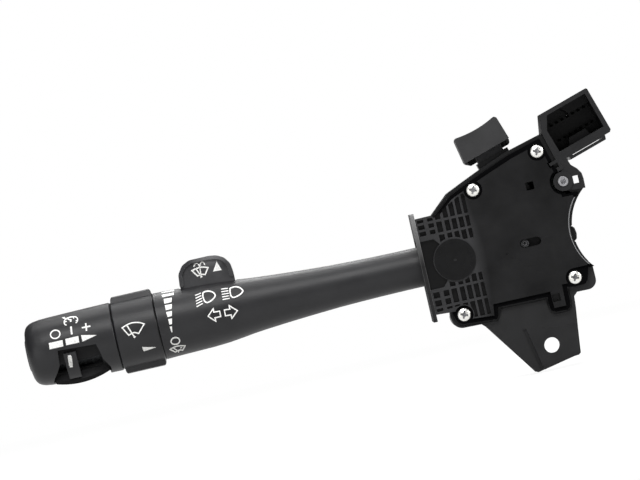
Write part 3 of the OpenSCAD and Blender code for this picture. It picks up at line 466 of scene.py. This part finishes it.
def round_edges(piece, chosen, width, segments, slot=-1):
    """Bevels the edges of a piece whose ends, in mm from the pivot, pass the test chosen(a, b)."""
    mesh = piece.data
    for group in (mesh.polygons, mesh.vertices, mesh.edges):
        group.foreach_set("select", [False] * len(group))
    for edge in mesh.edges:
        edge.select = chosen(*(mesh.vertices[i].co / MM - PIVOT for i in edge.vertices))
    activate(piece)
    bpy.ops.object.mode_set(mode="EDIT")
    bpy.ops.mesh.select_mode(type="EDGE")
    bpy.ops.mesh.bevel(
        offset=width * MM, segments=segments, affect="EDGES", clamp_overlap=True, material=slot)
    bpy.ops.object.mode_set(mode="OBJECT")


def tone(piece, kind, chosen):
    """Gives another finish to the faces that pass the test chosen(place from the pivot, normal)."""
    piece.data.materials.append(finish(kind))
    slot = len(piece.data.materials) - 1
    for face in piece.data.polygons:
        if chosen(face.center / MM - PIVOT, face.normal):
            face.material_index = slot


def weld(piece, distance):
    """Merges the points of a piece that lie closer together than distance, in mm."""
    activate(piece)
    bpy.ops.object.mode_set(mode="EDIT")
    bpy.ops.mesh.select_all(action="SELECT")
    bpy.ops.mesh.remove_doubles(threshold=distance * MM)
    bpy.ops.object.mode_set(mode="OBJECT")


def dressed(node, name, kind, edge, segments=2, first=None):
    """A merged copy of a CAD node with its edges rounded, which stands for the node."""
    shells = bpy.context.scene.switch_shells
    activate(frame["nodes"][node])
    bpy.ops.object.duplicate()
    piece = bpy.context.object
    bpy.ops.object.parent_clear(type="CLEAR")
    piece.name = piece.data.name = name
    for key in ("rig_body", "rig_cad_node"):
        del piece[key]
    bpy.ops.mesh.customdata_custom_splitnormals_clear()
    bpy.ops.object.mode_set(mode="EDIT")
    bpy.ops.mesh.select_all(action="SELECT")
    bpy.ops.mesh.remove_doubles(threshold=0.001 * MM)
    bpy.ops.mesh.dissolve_limited(angle_limit=math.radians(0.4))
    bpy.ops.object.mode_set(mode="OBJECT")
    piece.data.materials.clear()
    piece.data.materials.append(finish(kind))
    piece.data.materials.append(finish(kind, rubbed=kind in PLASTICS))
    if first:
        first(piece)
    apply_modifier(
        piece, "BEVEL", width=edge, segments=segments, limit_method="ANGLE", angle_limit=shells.smooth,
        use_clamp_overlap=True, material=1)
    activate(piece)
    bpy.ops.object.shade_smooth_by_angle(angle=shells.smooth)
    apply_modifier(piece, "WEIGHTED_NORMAL", keep_sharp=True, weight=60)
    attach(piece, BODY_OF[node])
    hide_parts(node)
    return piece


def spread(points, closed):
    """The line through the points, with more points between them where they lie far apart."""
    points = [Vector(p) for p in points] + ([Vector(points[0])] if closed else [])
    line = [points[0]]
    for a, b in zip(points, points[1:]):
        steps = max(1, math.ceil((b - a).length / LINE_STEP))
        line += [a.lerp(b, i / steps) for i in range(1, steps + 1)]
    return line


def grid(columns, rows, places):
    """A flat grid facing the driver whose corners are pulled to places given in mm from the pivot."""
    deselect()
    bpy.ops.mesh.primitive_grid_add(x_subdivisions=columns, y_subdivisions=rows, size=1)
    sheet = bpy.context.object
    for vertex, (x, z) in zip(sheet.data.vertices, places):
        vertex.co = ((x + PIVOT.x) * MM, DRAWN_AT * MM, (z + PIVOT.z) * MM)
    return sheet


def stroke(points, closed=False, width=None):
    """A line of ink through points given in mm from the pivot."""
    half = (width or bpy.context.scene.switch_print.line / MM) / 2
    tiny = 1e-6
    mitre = 0.6
    line = spread(points, closed)
    sides = []
    for i, p in enumerate(line):
        before = line[i - 1] if i else (line[-2] if closed else p)
        after = line[i + 1] if i + 1 < len(line) else (line[1] if closed else p)
        a, b = (p - before), (after - p)
        a = a.normalized() if a.length > tiny else b.normalized()
        b = b.normalized() if b.length > tiny else a
        left = Vector((-(a + b).y, (a + b).x))
        left = left.normalized() if left.length > tiny else Vector((-a.y, a.x))
        sides.append(left / max(mitre, left.dot(Vector((-a.y, a.x)))))
    places = [p + s * half * j for j in (-1, 0, 1) for p, s in zip(line, sides)]
    sheet = grid(len(line) - 1, 2, places)
    if closed:
        weld(sheet, 0.01)
    return sheet


def patch(corners):
    """A filled area between three or four corners, counter-clockwise as the driver sees them."""
    a, b, c, d = [Vector(p) for p in (list(corners) + [corners[-1]])[:4]]
    columns = max(2, math.ceil(max((b - a).length, (c - d).length) / AREA_STEP))
    rows = max(2, math.ceil(max((d - a).length, (c - b).length) / AREA_STEP))
    places = [
        a.lerp(b, i / columns).lerp(d.lerp(c, i / columns), j / rows)
        for j in range(rows + 1) for i in range(columns + 1)]
    sheet = grid(columns, rows, places)
    weld(sheet, 0.01)
    return sheet


def ring_points(centre, width, height, count=28):
    """Points round an ellipse of the given half width and half height."""
    turns = [2 * math.pi * i / count for i in range(count)]
    return [(centre[0] + width * math.cos(turn), centre[1] + height * math.sin(turn)) for turn in turns]


def curved(points, closed=False, steps=5):
    """A smooth line through the points."""
    points = [Vector(p) for p in points]
    count = len(points)
    line = []
    for i in range(count if closed else count - 1):
        if closed:
            a, b, c, d = (points[(i + k) % count] for k in (-1, 0, 1, 2))
        else:
            a, b, c, d = (points[min(max(i + k, 0), count - 1)] for k in (-1, 0, 1, 2))
        for j in range(steps):
            t = j / steps
            line.append(0.5 * (
                2 * b + (c - a) * t + (2 * a - 5 * b + 4 * c - d) * t ** 2 + (3 * b - a - 3 * c + d) * t ** 3))
    return line if closed else line + [points[-1]]


def ink_on(name, target, sheets):
    """Joins flat shapes, wraps them on a piece from the driver's side and thickens them to ink."""
    ink = bpy.context.scene.switch_print
    deselect()
    for sheet in sheets:
        sheet.select_set(True)
    bpy.context.view_layer.objects.active = sheets[0]
    if len(sheets) > 1:
        bpy.ops.object.join()
    mark = bpy.context.object
    mark.name = mark.data.name = name
    bpy.ops.object.transform_apply(location=True, rotation=True, scale=True)
    apply_modifier(
        mark, "SHRINKWRAP", target=frame["nodes"][target], wrap_method="PROJECT", wrap_mode="ABOVE_SURFACE",
        use_project_x=False, use_project_y=True, use_project_z=False, use_positive_direction=True,
        use_negative_direction=False, offset=ink.height)
    apply_modifier(mark, "SOLIDIFY", thickness=ink.height * 1.5, offset=-1.0)
    bpy.ops.object.mode_set(mode="EDIT")
    bpy.ops.mesh.select_all(action="SELECT")
    bpy.ops.mesh.normals_make_consistent(inside=False)
    bpy.ops.object.mode_set(mode="OBJECT")
    bpy.ops.object.shade_smooth_by_angle(angle=math.radians(40))
    mark.data.materials.clear()
    mark.data.materials.append(finish("ink"))
    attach(mark, BODY_OF[target])
    return mark


# gaps of the wiring socket


def narrow_rail_gap(piece):
    """Lowers the top of the gap behind the socket's latch rail, so that it looks like a slit."""
    gap_top = 14.8
    gap_start = 69.1
    gap_end = 84.5
    drop = 0.5
    along = Vector((math.cos(SOCKET_TILT), math.sin(SOCKET_TILT)))
    across = Vector((-along.y, along.x))
    for vertex in piece.data.vertices:
        at = (vertex.co / MM - PIVOT).xz
        if abs(at @ across - gap_top) < 0.03 and gap_start < at @ along < gap_end:
            vertex.co.x -= drop * MM * across.x
            vertex.co.z -= drop * MM * across.y


def seal_terminals(piece):
    """Draws the corners of the terminal holes in to the terminals, so that no light comes through."""
    reach = 0.16
    share = 0.9
    corners = [vertex.co.xz / MM for vertex in frame["nodes"]["connector_pins"].data.vertices]
    for vertex in piece.data.vertices:
        at = vertex.co.xz / MM
        near = min(corners, key=lambda corner: (corner - at).length)
        if (near - at).length < reach:
            vertex.co.x, vertex.co.z = at.lerp(near, share) * MM


# operators


class SWITCH_OT_column_shells(bpy.types.Operator):
    """Rounds and finishes the housing, cover, shield, bracket and wiring socket"""
    bl_idname = "switch.column_shells"
    bl_label = "Column shells"

    def execute(self, context):
        shells = context.scene.switch_shells
        dressed("housing", "housing_shell", "housing", shells.edge)
        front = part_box("cover")[0][1] / MM - PIVOT.y
        lip_level = front + 0.2
        boss_level = front + 0.55
        floor_level = front + 0.9
        lip_edge = 0.42

        def on_lip(a, b):
            off_arc = [abs((end.xz - RECESS_MIDDLE).length - RECESS_LIP_RADIUS) for end in (a, b)]
            off_level = [abs(end.y - lip_level) for end in (a, b)]
            return max(off_arc) < 0.12 and max(off_level) < 0.03

        # the lip's edge gets a painted highlight: pale glossy bevel faces for the glint along it
        def paint_lip_glint(piece):
            piece.data.materials.append(finish("cover_lip_glint"))
            round_edges(piece, on_lip, lip_edge, 2, slot=2)

        cover = dressed("cover", "cover_plate", "cover", shells.fine_edge, first=paint_lip_glint)
        # painted shade in the pockets and on the sunk faces of the cover
        tone(cover, "painted_shade_floor", lambda at, normal: at.y > floor_level and normal.y < 0.5)
        # painted shade: the low rim drawn as a black line
        tone(cover, "cover_rim_painted_shade", lambda at, normal: abs(at.y - RIM_LEVEL) < 0.05 and normal.y < -0.9)
        tone(cover, "cover_boss", lambda at, normal: at.y < boss_level and at.xz.length < BOSS_RADIUS)
        dressed("dust_shield", "shield_plate", "shield", shells.edge)
        dressed("mounting_bracket", "bracket_plate", "bracket", shells.edge)

        def fill_gaps(piece):
            narrow_rail_gap(piece)
            seal_terminals(piece)

        socket = dressed("connector_block", "wiring_socket_shell", "socket", shells.edge, first=fill_gaps)
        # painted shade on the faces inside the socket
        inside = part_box("connector_block")[0][1] / MM - PIVOT.y + 1.5
        tone(socket, "painted_shade_floor", lambda at, normal: at.y > inside)
        return {"FINISHED"}


class SWITCH_OT_lever_shells(bpy.types.Operator):
    """Rounds and finishes the lever halves, wiper band and end module"""
    bl_idname = "switch.lever_shells"
    bl_label = "Lever shells"

    def execute(self, context):
        shells = context.scene.switch_shells
        grip_edge = 0.4 * MM
        dressed("stalk_front", "lever_front", "lever", shells.fine_edge)
        dressed("stalk_rear", "lever_rear", "lever", shells.fine_edge)
        band = dressed("wiper_band", "wiper_band_grip", "lever", grip_edge, segments=3)
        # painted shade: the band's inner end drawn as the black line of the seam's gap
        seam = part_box("wiper_band")[1][0] / MM - PIVOT.x - 0.4
        tone(band, "painted_shade_floor", lambda at, normal: at.x > seam)
        dressed("end_module", "end_module_shell", "module", shells.fine_edge)
        return {"FINISHED"}


class SWITCH_OT_controls(bpy.types.Operator):
    """Rounds and finishes the hazard button, paddle, cruise slider and set button"""
    bl_idname = "switch.controls"
    bl_label = "Controls"

    def execute(self, context):
        shells = context.scene.switch_shells
        cap_edge = 0.5 * MM
        paddle_edge = 0.35 * MM
        paddle_corner = 1.6
        paddle_foot = 14.0
        track_lip_top = -10.0
        dressed("hazard_button", "hazard_cap", "cap", cap_edge, segments=3)
        dressed("hazard_plunger", "hazard_stem", "core", shells.edge)

        def on_outline(a, b):
            return abs(a.y - b.y) > 0.95 * (a - b).length and max(a.z, b.z) > paddle_foot

        def round_outline(piece):
            round_edges(piece, on_outline, paddle_corner, 4)

        dressed("washer_paddle", "washer_paddle_cap", "paddle", paddle_edge, segments=3, first=round_outline)
        track = dressed("slider_bezel", "slider_track", "bezel", shells.fine_edge)
        tone(track, "track_lip", lambda at, normal: at.z < track_lip_top)
        dressed("cruise_slider", "cruise_knob_cap", "lever", shells.edge)
        dressed("set_button", "set_button_cap", "cap", shells.edge)
        return {"FINISHED"}


class SWITCH_OT_fasteners(bpy.types.Operator):
    """Rounds and finishes the cover screws and the rivet"""
    bl_idname = "switch.fasteners"
    bl_label = "Fasteners"

    def execute(self, context):
        metal_edge = 0.08 * MM
        recess_radius = 1.85
        screws = dressed("cover_screws", "pan_head_screws", "zinc", metal_edge)
        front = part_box("cover_screws")[0][1] / MM - PIVOT.y
        heads = [Vector(at) for at in SCREW_AT]

        def in_recess(at, normal):
            off_axis = min((at.xz - head).length for head in heads)
            return front + 0.3 < at.y < front + 2 and off_axis < recess_radius

        # painted shade in the cross recesses
        tone(screws, "recess", in_recess)
        dressed("connector_rivet", "socket_rivet", "rivet", metal_edge)
        return {"FINISHED"}


class SWITCH_OT_inner_parts(bpy.types.Operator):
    """Gives the pieces inside the column unit and the lever their finishes"""
    bl_idname = "switch.inner_parts"
    bl_label = "Inner parts"

    def execute(self, context):
        for kind, nodes in {
            "board": ("circuit_board",),
            "black_board": ("cruise_board",),
            "acetal": ("detent_cam", "turn_carrier"),
            "steel": ("beam_pin", "detent_plunger", "paddle_pin", "slider_ball"),
            "spring": (
                "detent_spring", "cancel_spring", "paddle_spring", "set_spring", "hazard_spring", "band_leaf"),
            "terminal": ("connector_pins", "turn_slider"),
            "bronze": ("wiper_disc",),
            "core": ("stalk_root", "core_tube"),
            "wires": ("wire_bundle",),
        }.items():
            for node in nodes:
                paint_node(node, kind)
        dressed("cancel_pawl", "cancel_pawl_slide", "black_acetal", context.scene.switch_shells.edge)
        return {"FINISHED"}


class SWITCH_OT_lever_symbols(bpy.types.Operator):
    """Prints the lamp, indicator and wiper symbols on the lever and its band"""
    bl_idname = "switch.lever_symbols"
    bl_label = "Lever symbols"

    def execute(self, context):
        bars = [[(-132.1, 14.5), (-126.4, 14.2), (-126.2, 14.75), (-132.2, 14.75)],
                [(-131.8, 12.6), (-126.7, 12.5), (-126.6, 13.5), (-132.3, 13.7)],
                [(-131.6, 9.6), (-128.3, 9.6), (-127.8, 11.5), (-131.5, 11.7)],
                [(-131.5, 6.6), (-128.8, 6.7), (-128.3, 8.7), (-131.5, 8.9)],
                [(-131.4, 3.4), (-129.4, 3.5), (-128.9, 5.7), (-131.6, 5.8)],
                [(-131.3, 0.0), (-130.1, 0.0), (-129.6, 2.5), (-131.4, 2.5)],
                [(-131.15, -3.6), (-130.8, -3.6), (-130.4, -1.0), (-131.45, -0.9)]]
        ink_on("wiper_speed_bars", "stalk_front", [patch(b) for b in bars])
        ink_on("wiper_off_ring", "stalk_front", [
            stroke(ring_points((-130.45, -7.8), 1.95, 1.55), closed=True, width=0.55)])
        ink_on("mist_symbol", "stalk_front", [
            stroke(curved([(-133.7, -11.0), (-131.8, -10.4), (-129.4, -10.3), (-126.7, -10.9)])
                   + curved([(-128.4, -12.6), (-129.8, -12.2), (-131.7, -12.7)]), closed=True, width=0.5),
            stroke([(-132.0, -10.7), (-130.2, -12.9)], width=0.5),
            stroke([(-130.4, -12.8), (-130.1, -13.0)], width=0.9),
            stroke([(-129.1, -11.5), (-128.3, -11.1)], width=0.5)])
        ink_on("low_beam_symbol", "stalk_front", [
            stroke(curved([
                (-113.2, 10.7), (-111.0, 10.7), (-109.2, 9.7), (-108.5, 8.2), (-109.6, 6.9), (-111.5, 6.0),
                (-112.9, 5.9), (-113.7, 6.8), (-114.0, 8.5), (-113.8, 9.9)], closed=True),
                closed=True, width=0.58)]
            + [stroke([(-114.55 - 0.02 * i, 10.6 - 1.17 * i), (-117.3 - 0.1 * i, 10.1 - 1.26 * i)], width=0.45)
               for i in range(5)])
        ink_on("high_beam_symbol", "stalk_front", [
            stroke(curved([
                (-101.1, 9.8), (-98.9, 9.9), (-97.1, 9.1), (-96.0, 7.6), (-96.4, 6.8), (-98.0, 5.9),
                (-100.4, 5.4), (-101.5, 6.1), (-101.7, 7.7), (-101.5, 9.2)], closed=True),
                closed=True, width=0.58)]
            + [stroke([(-102.3 - 0.04 * i, 10.0 - 1.13 * i), (-105.4 - 0.06 * i, 10.3 - 1.17 * i)], width=0.45)
               for i in range(5)])
        ink_on("left_arrow_symbol", "stalk_front", [stroke([
            (-113.6, -0.2), (-110.6, 2.6), (-110.7, 1.0), (-108.1, 0.9), (-108.1, -1.6), (-110.8, -1.6),
            (-110.7, -3.3)], closed=True, width=0.55)])
        ink_on("right_arrow_symbol", "stalk_front", [stroke([
            (-100.3, -0.7), (-103.4, 2.4), (-103.4, 0.7), (-105.9, 0.9), (-106.0, -1.8), (-103.4, -1.9),
            (-103.5, -3.6)], closed=True, width=0.55)])
        ink_on("band_wiper_symbol", "wiper_band", [
            stroke(curved([
                (-152.3, 3.3), (-150.0, 4.1), (-147.8, 4.5), (-145.9, 4.3), (-144.0, 3.8), (-142.3, 2.8)])
                + curved([(-145.6, -0.8), (-146.9, -0.1), (-148.2, 0.0), (-150.1, -0.6)]),
                closed=True, width=0.55),
            stroke([(-150.0, 3.9), (-147.9, -1.7)], width=0.6),
            stroke([(-148.0, -1.6), (-147.5, -2.2)], width=1.0)])
        ink_on("band_pointer", "wiper_band", [patch([(-145.3, -9.2), (-139.4, -8.6), (-145.5, -7.1)])])
        return {"FINISHED"}


class SWITCH_OT_cruise_symbols(bpy.types.Operator):
    """Prints the cruise symbols on the end module and the stripe on its slider"""
    bl_idname = "switch.cruise_symbols"
    bl_label = "Cruise symbols"

    def execute(self, context):
        ink_on("cruise_slot_marks", "end_module", [
            patch([(-186.1, 1.1), (-179.8, 1.1), (-179.6, 3.9), (-185.9, 3.9)]),
            patch([(-178.5, 1.2), (-172.4, 1.2), (-172.3, 4.1), (-178.3, 4.1)]),
            patch([(-171.0, 1.2), (-164.1, 2.7), (-171.0, 4.2)])])
        ink_on("cruise_off_ring", "end_module", [
            stroke(ring_points((-182.3, 7.1), 2.15, 1.82), closed=True, width=0.55)])
        ink_on("cruise_on_tick", "end_module", [stroke([(-174.7, 9.0), (-175.0, 5.4)], width=0.8)])
        ink_on("cruise_plus", "end_module", [
            stroke([(-170.0, 7.3), (-166.1, 7.2)], width=0.65),
            stroke([(-167.9, 8.9), (-168.2, 5.5)], width=0.65)])
        ink_on("cruise_dial_symbol", "end_module", [
            stroke(curved([
                (-176.5, 10.0), (-177.2, 10.4), (-177.4, 11.2), (-177.1, 12.2), (-176.1, 12.8), (-174.7, 13.1),
                (-173.1, 13.0), (-171.8, 12.6), (-171.2, 11.7), (-171.4, 10.7), (-172.3, 10.0)]), width=0.5),
            stroke([(-174.7, 11.65), (-174.0, 11.55)], width=1.1),
            stroke([(-175.7, 12.7), (-174.4, 11.7)], width=0.45),
            stroke([(-177.2, 11.5), (-176.2, 11.6)], width=0.4),
            stroke([(-172.9, 12.9), (-172.9, 12.1)], width=0.4),
            stroke([(-171.4, 11.0), (-172.2, 11.0)], width=0.4),
            stroke([(-177.4, 13.4), (-176.2, 12.9)], width=0.4),
            patch([(-177.1, 12.9), (-176.9, 13.85), (-178.2, 13.7)])])
        ink_on("slider_stripe", "cruise_slider", [
            stroke([(-178.5, -8.9), (-178.0, -3.4)], width=1.3),
            stroke([(-178.45, -8.1), (-178.0, -3.9)], width=1.7)])
        return {"FINISHED"}


class SWITCH_OT_paddle_symbols(bpy.types.Operator):
    """Prints the washer symbol and the arrowhead on the paddle"""
    bl_idname = "switch.paddle_symbols"
    bl_label = "Paddle symbols"

    def execute(self, context):
        ink_on("washer_symbol", "washer_paddle", [
            stroke(curved([(-116.5, 21.3), (-114.3, 21.8), (-111.9, 21.9), (-109.1, 21.1)])
                   + curved([(-111.0, 18.3), (-112.7, 18.7), (-114.5, 18.4)]), closed=True, width=0.62),
            stroke([(-114.5, 21.6), (-112.9, 17.8)], width=0.6),
            stroke([(-113.0, 17.9), (-112.8, 17.4)], width=1.0),
            stroke([(-112.7, 21.4), (-112.9, 18.8)], width=0.45),
            stroke(curved([
                (-115.3, 22.8), (-114.6, 23.7), (-113.6, 24.0), (-112.9, 23.2), (-112.8, 22.2)]), width=0.45),
            stroke(curved([
                (-112.6, 22.4), (-112.0, 23.7), (-110.9, 24.0), (-110.3, 23.2), (-110.3, 22.5)]), width=0.45)])
        ink_on("paddle_arrowhead", "washer_paddle", [patch([(-107.3, 18.8), (-103.3, 18.6), (-104.7, 22.9)])])
        return {"FINISHED"}


def pale_paper(middle):
    """Pale paper: the camera and mirrors see it glow white, with shadows left in it round the middle,
    and plain white further off. All other light meets the paper as it is."""
    material = bpy.data.materials.new("pale_paper_floor")
    material.use_nodes = True
    tree = material.node_tree
    tree.nodes.clear()
    path = add_node(tree, "ShaderNodeLightPath").outputs
    seen = add_node(
        tree, "ShaderNodeMath", {0: path["Is Camera Ray"], 1: path["Is Glossy Ray"]}, operation="MAXIMUM")
    seen = add_node(
        tree, "ShaderNodeMath", {0: seen.outputs[0], 1: path["Is Transmission Ray"]}, operation="MAXIMUM")
    place = add_node(tree, "ShaderNodeTexCoord").outputs["Object"]
    away = add_node(tree, "ShaderNodeVectorMath", {0: place, 1: middle}, operation="DISTANCE")
    far = fitted(tree, away.outputs["Value"], 0.0, 1.0, start=0.25, end=0.8)
    paper = add_node(tree, "ShaderNodeBsdfDiffuse", {"Color": linear("#b2b2b0")})
    veil = add_node(tree, "ShaderNodeBsdfDiffuse", {"Color": linear("#787878")})
    glow = add_node(tree, "ShaderNodeEmission", {"Color": linear("#ffffff"), "Strength": 0.85})
    both = add_node(tree, "ShaderNodeAddShader", {0: glow.outputs[0], 1: veil.outputs[0]})
    white = add_node(tree, "ShaderNodeEmission", {"Color": linear("#ffffff"), "Strength": 1.0})
    fade = add_node(tree, "ShaderNodeMixShader", {0: far, 1: both.outputs[0], 2: white.outputs[0]})
    choice = add_node(
        tree, "ShaderNodeMixShader", {0: seen.outputs[0], 1: paper.outputs[0], 2: fade.outputs[0]})
    add_node(tree, "ShaderNodeOutputMaterial", {"Surface": choice.outputs[0]})
    return material


def white_surroundings():
    """White to the camera, and only a dim even light to everything else."""
    world = bpy.data.worlds.new("white_surroundings")
    world.use_nodes = True
    tree = world.node_tree
    tree.nodes.clear()
    path = add_node(tree, "ShaderNodeLightPath").outputs
    dim = add_node(tree, "ShaderNodeBackground", {"Color": linear("#ffffff"), "Strength": 0.07})
    white = add_node(tree, "ShaderNodeBackground", {"Color": linear("#ffffff"), "Strength": 1.0})
    choice = add_node(
        tree, "ShaderNodeMixShader", {0: path["Is Camera Ray"], 1: dim.outputs[0], 2: white.outputs[0]})
    add_node(tree, "ShaderNodeOutputWorld", {"Surface": choice.outputs[0]})
    return world


def soft_lamp(name, place, size, power):
    """A rectangular lamp at a place in m that shines on the middle of the switch."""
    bpy.ops.object.light_add(type="AREA", location=place)
    lamp = bpy.context.object
    lamp.name = name
    lamp.data.shape = "RECTANGLE"
    lamp.data.size, lamp.data.size_y = size
    lamp.data.energy = power
    aim = Vector((-0.09, 0.0, 0.06)) - Vector(place)
    lamp.rotation_euler = aim.to_track_quat("-Z", "Y").to_euler()


def photo_camera():
    """A camera far off with a long lens, which leans as the photo's view does."""
    sensor = 36.0
    bpy.ops.object.camera_add()
    camera = bpy.context.object
    camera.name = "photo_camera"
    camera.data.sensor_width = sensor
    camera.data.lens = sensor * VIEW_DISTANCE / VIEW_WIDTH
    camera.data.clip_start, camera.data.clip_end = 0.05, 20.0
    stand = Matrix.Translation((VIEW_MIDDLE - Vector((0, VIEW_DISTANCE, 0))) * MM)
    lean = Matrix.Rotation(LEAN, 4, "Y")
    camera.matrix_world = stand @ lean @ Matrix.Rotation(math.radians(90), 4, "X")
    return camera


class SWITCH_OT_studio(bpy.types.Operator):
    """Sets the pale floor, soft lamps, white surroundings and the camera"""
    bl_idname = "switch.studio"
    bl_label = "Studio"

    def execute(self, context):
        scene = context.scene
        scene.view_settings.view_transform = "Standard"
        middle = Vector((VIEW_MIDDLE.x * MM, 0, CAD_BOX[0][2]))
        deselect()
        bpy.ops.mesh.primitive_plane_add(size=6, location=middle - Vector((0, 0, 0.5 * MM)))
        floor = bpy.context.object
        floor.name = "studio_floor"
        bpy.ops.object.transform_apply(location=True, rotation=True, scale=True)
        floor.data.materials.append(pale_paper(middle))
        scene.world = white_surroundings()
        # places and sizes in m, power in W
        soft_lamp("key_softbox", (-0.1, -0.6, 0.75), (0.5, 0.3), 6.5)
        soft_lamp("top_softbox", (-0.05, 0.1, 0.7), (0.8, 0.2), 2.5)
        soft_lamp("rim_softbox", (-0.02, 0.4, 0.45), (0.4, 0.2), 2.0)
        soft_lamp("side_softbox", (0.7, -0.3, 0.3), (0.3, 0.3), 3.0)
        soft_lamp("fill_softbox", (-0.7, -0.75, 0.2), (0.4, 0.4), 1.6)
        scene.camera = photo_camera()
        return {"FINISHED"}


STEPS = (
    SWITCH_OT_column_shells, SWITCH_OT_lever_shells, SWITCH_OT_controls, SWITCH_OT_fasteners,
    SWITCH_OT_inner_parts, SWITCH_OT_lever_symbols, SWITCH_OT_cruise_symbols, SWITCH_OT_paddle_symbols,
    SWITCH_OT_studio)


class SWITCH_PT_panel(bpy.types.Panel):
    """Lists the settings and the steps in the sidebar"""
    bl_idname = "SWITCH_PT_panel"
    bl_label = "Column Switch"
    bl_space_type = "VIEW_3D"
    bl_region_type = "UI"
    bl_category = "Column Switch"

    def draw(self, context):
        for group in (context.scene.switch_shells, context.scene.switch_print):
            for key in group.__annotations__:
                self.layout.prop(group, key)
        for step in STEPS:
            self.layout.operator(step.bl_idname)


CLASSES = (ShellSettings, PrintSettings) + STEPS + (SWITCH_PT_panel,)


def register():
    for item in CLASSES:
        bpy.utils.register_class(item)
    bpy.types.Scene.switch_shells = bpy.props.PointerProperty(type=ShellSettings)
    bpy.types.Scene.switch_print = bpy.props.PointerProperty(type=PrintSettings)


def unregister():
    del bpy.types.Scene.switch_print
    del bpy.types.Scene.switch_shells
    for item in reversed(CLASSES):
        bpy.utils.unregister_class(item)


def main():
    register()
    for step in STEPS:
        group, name = step.bl_idname.split(".")
        getattr(getattr(bpy.ops, group), name)()


if __name__ == "__main__":
    main()
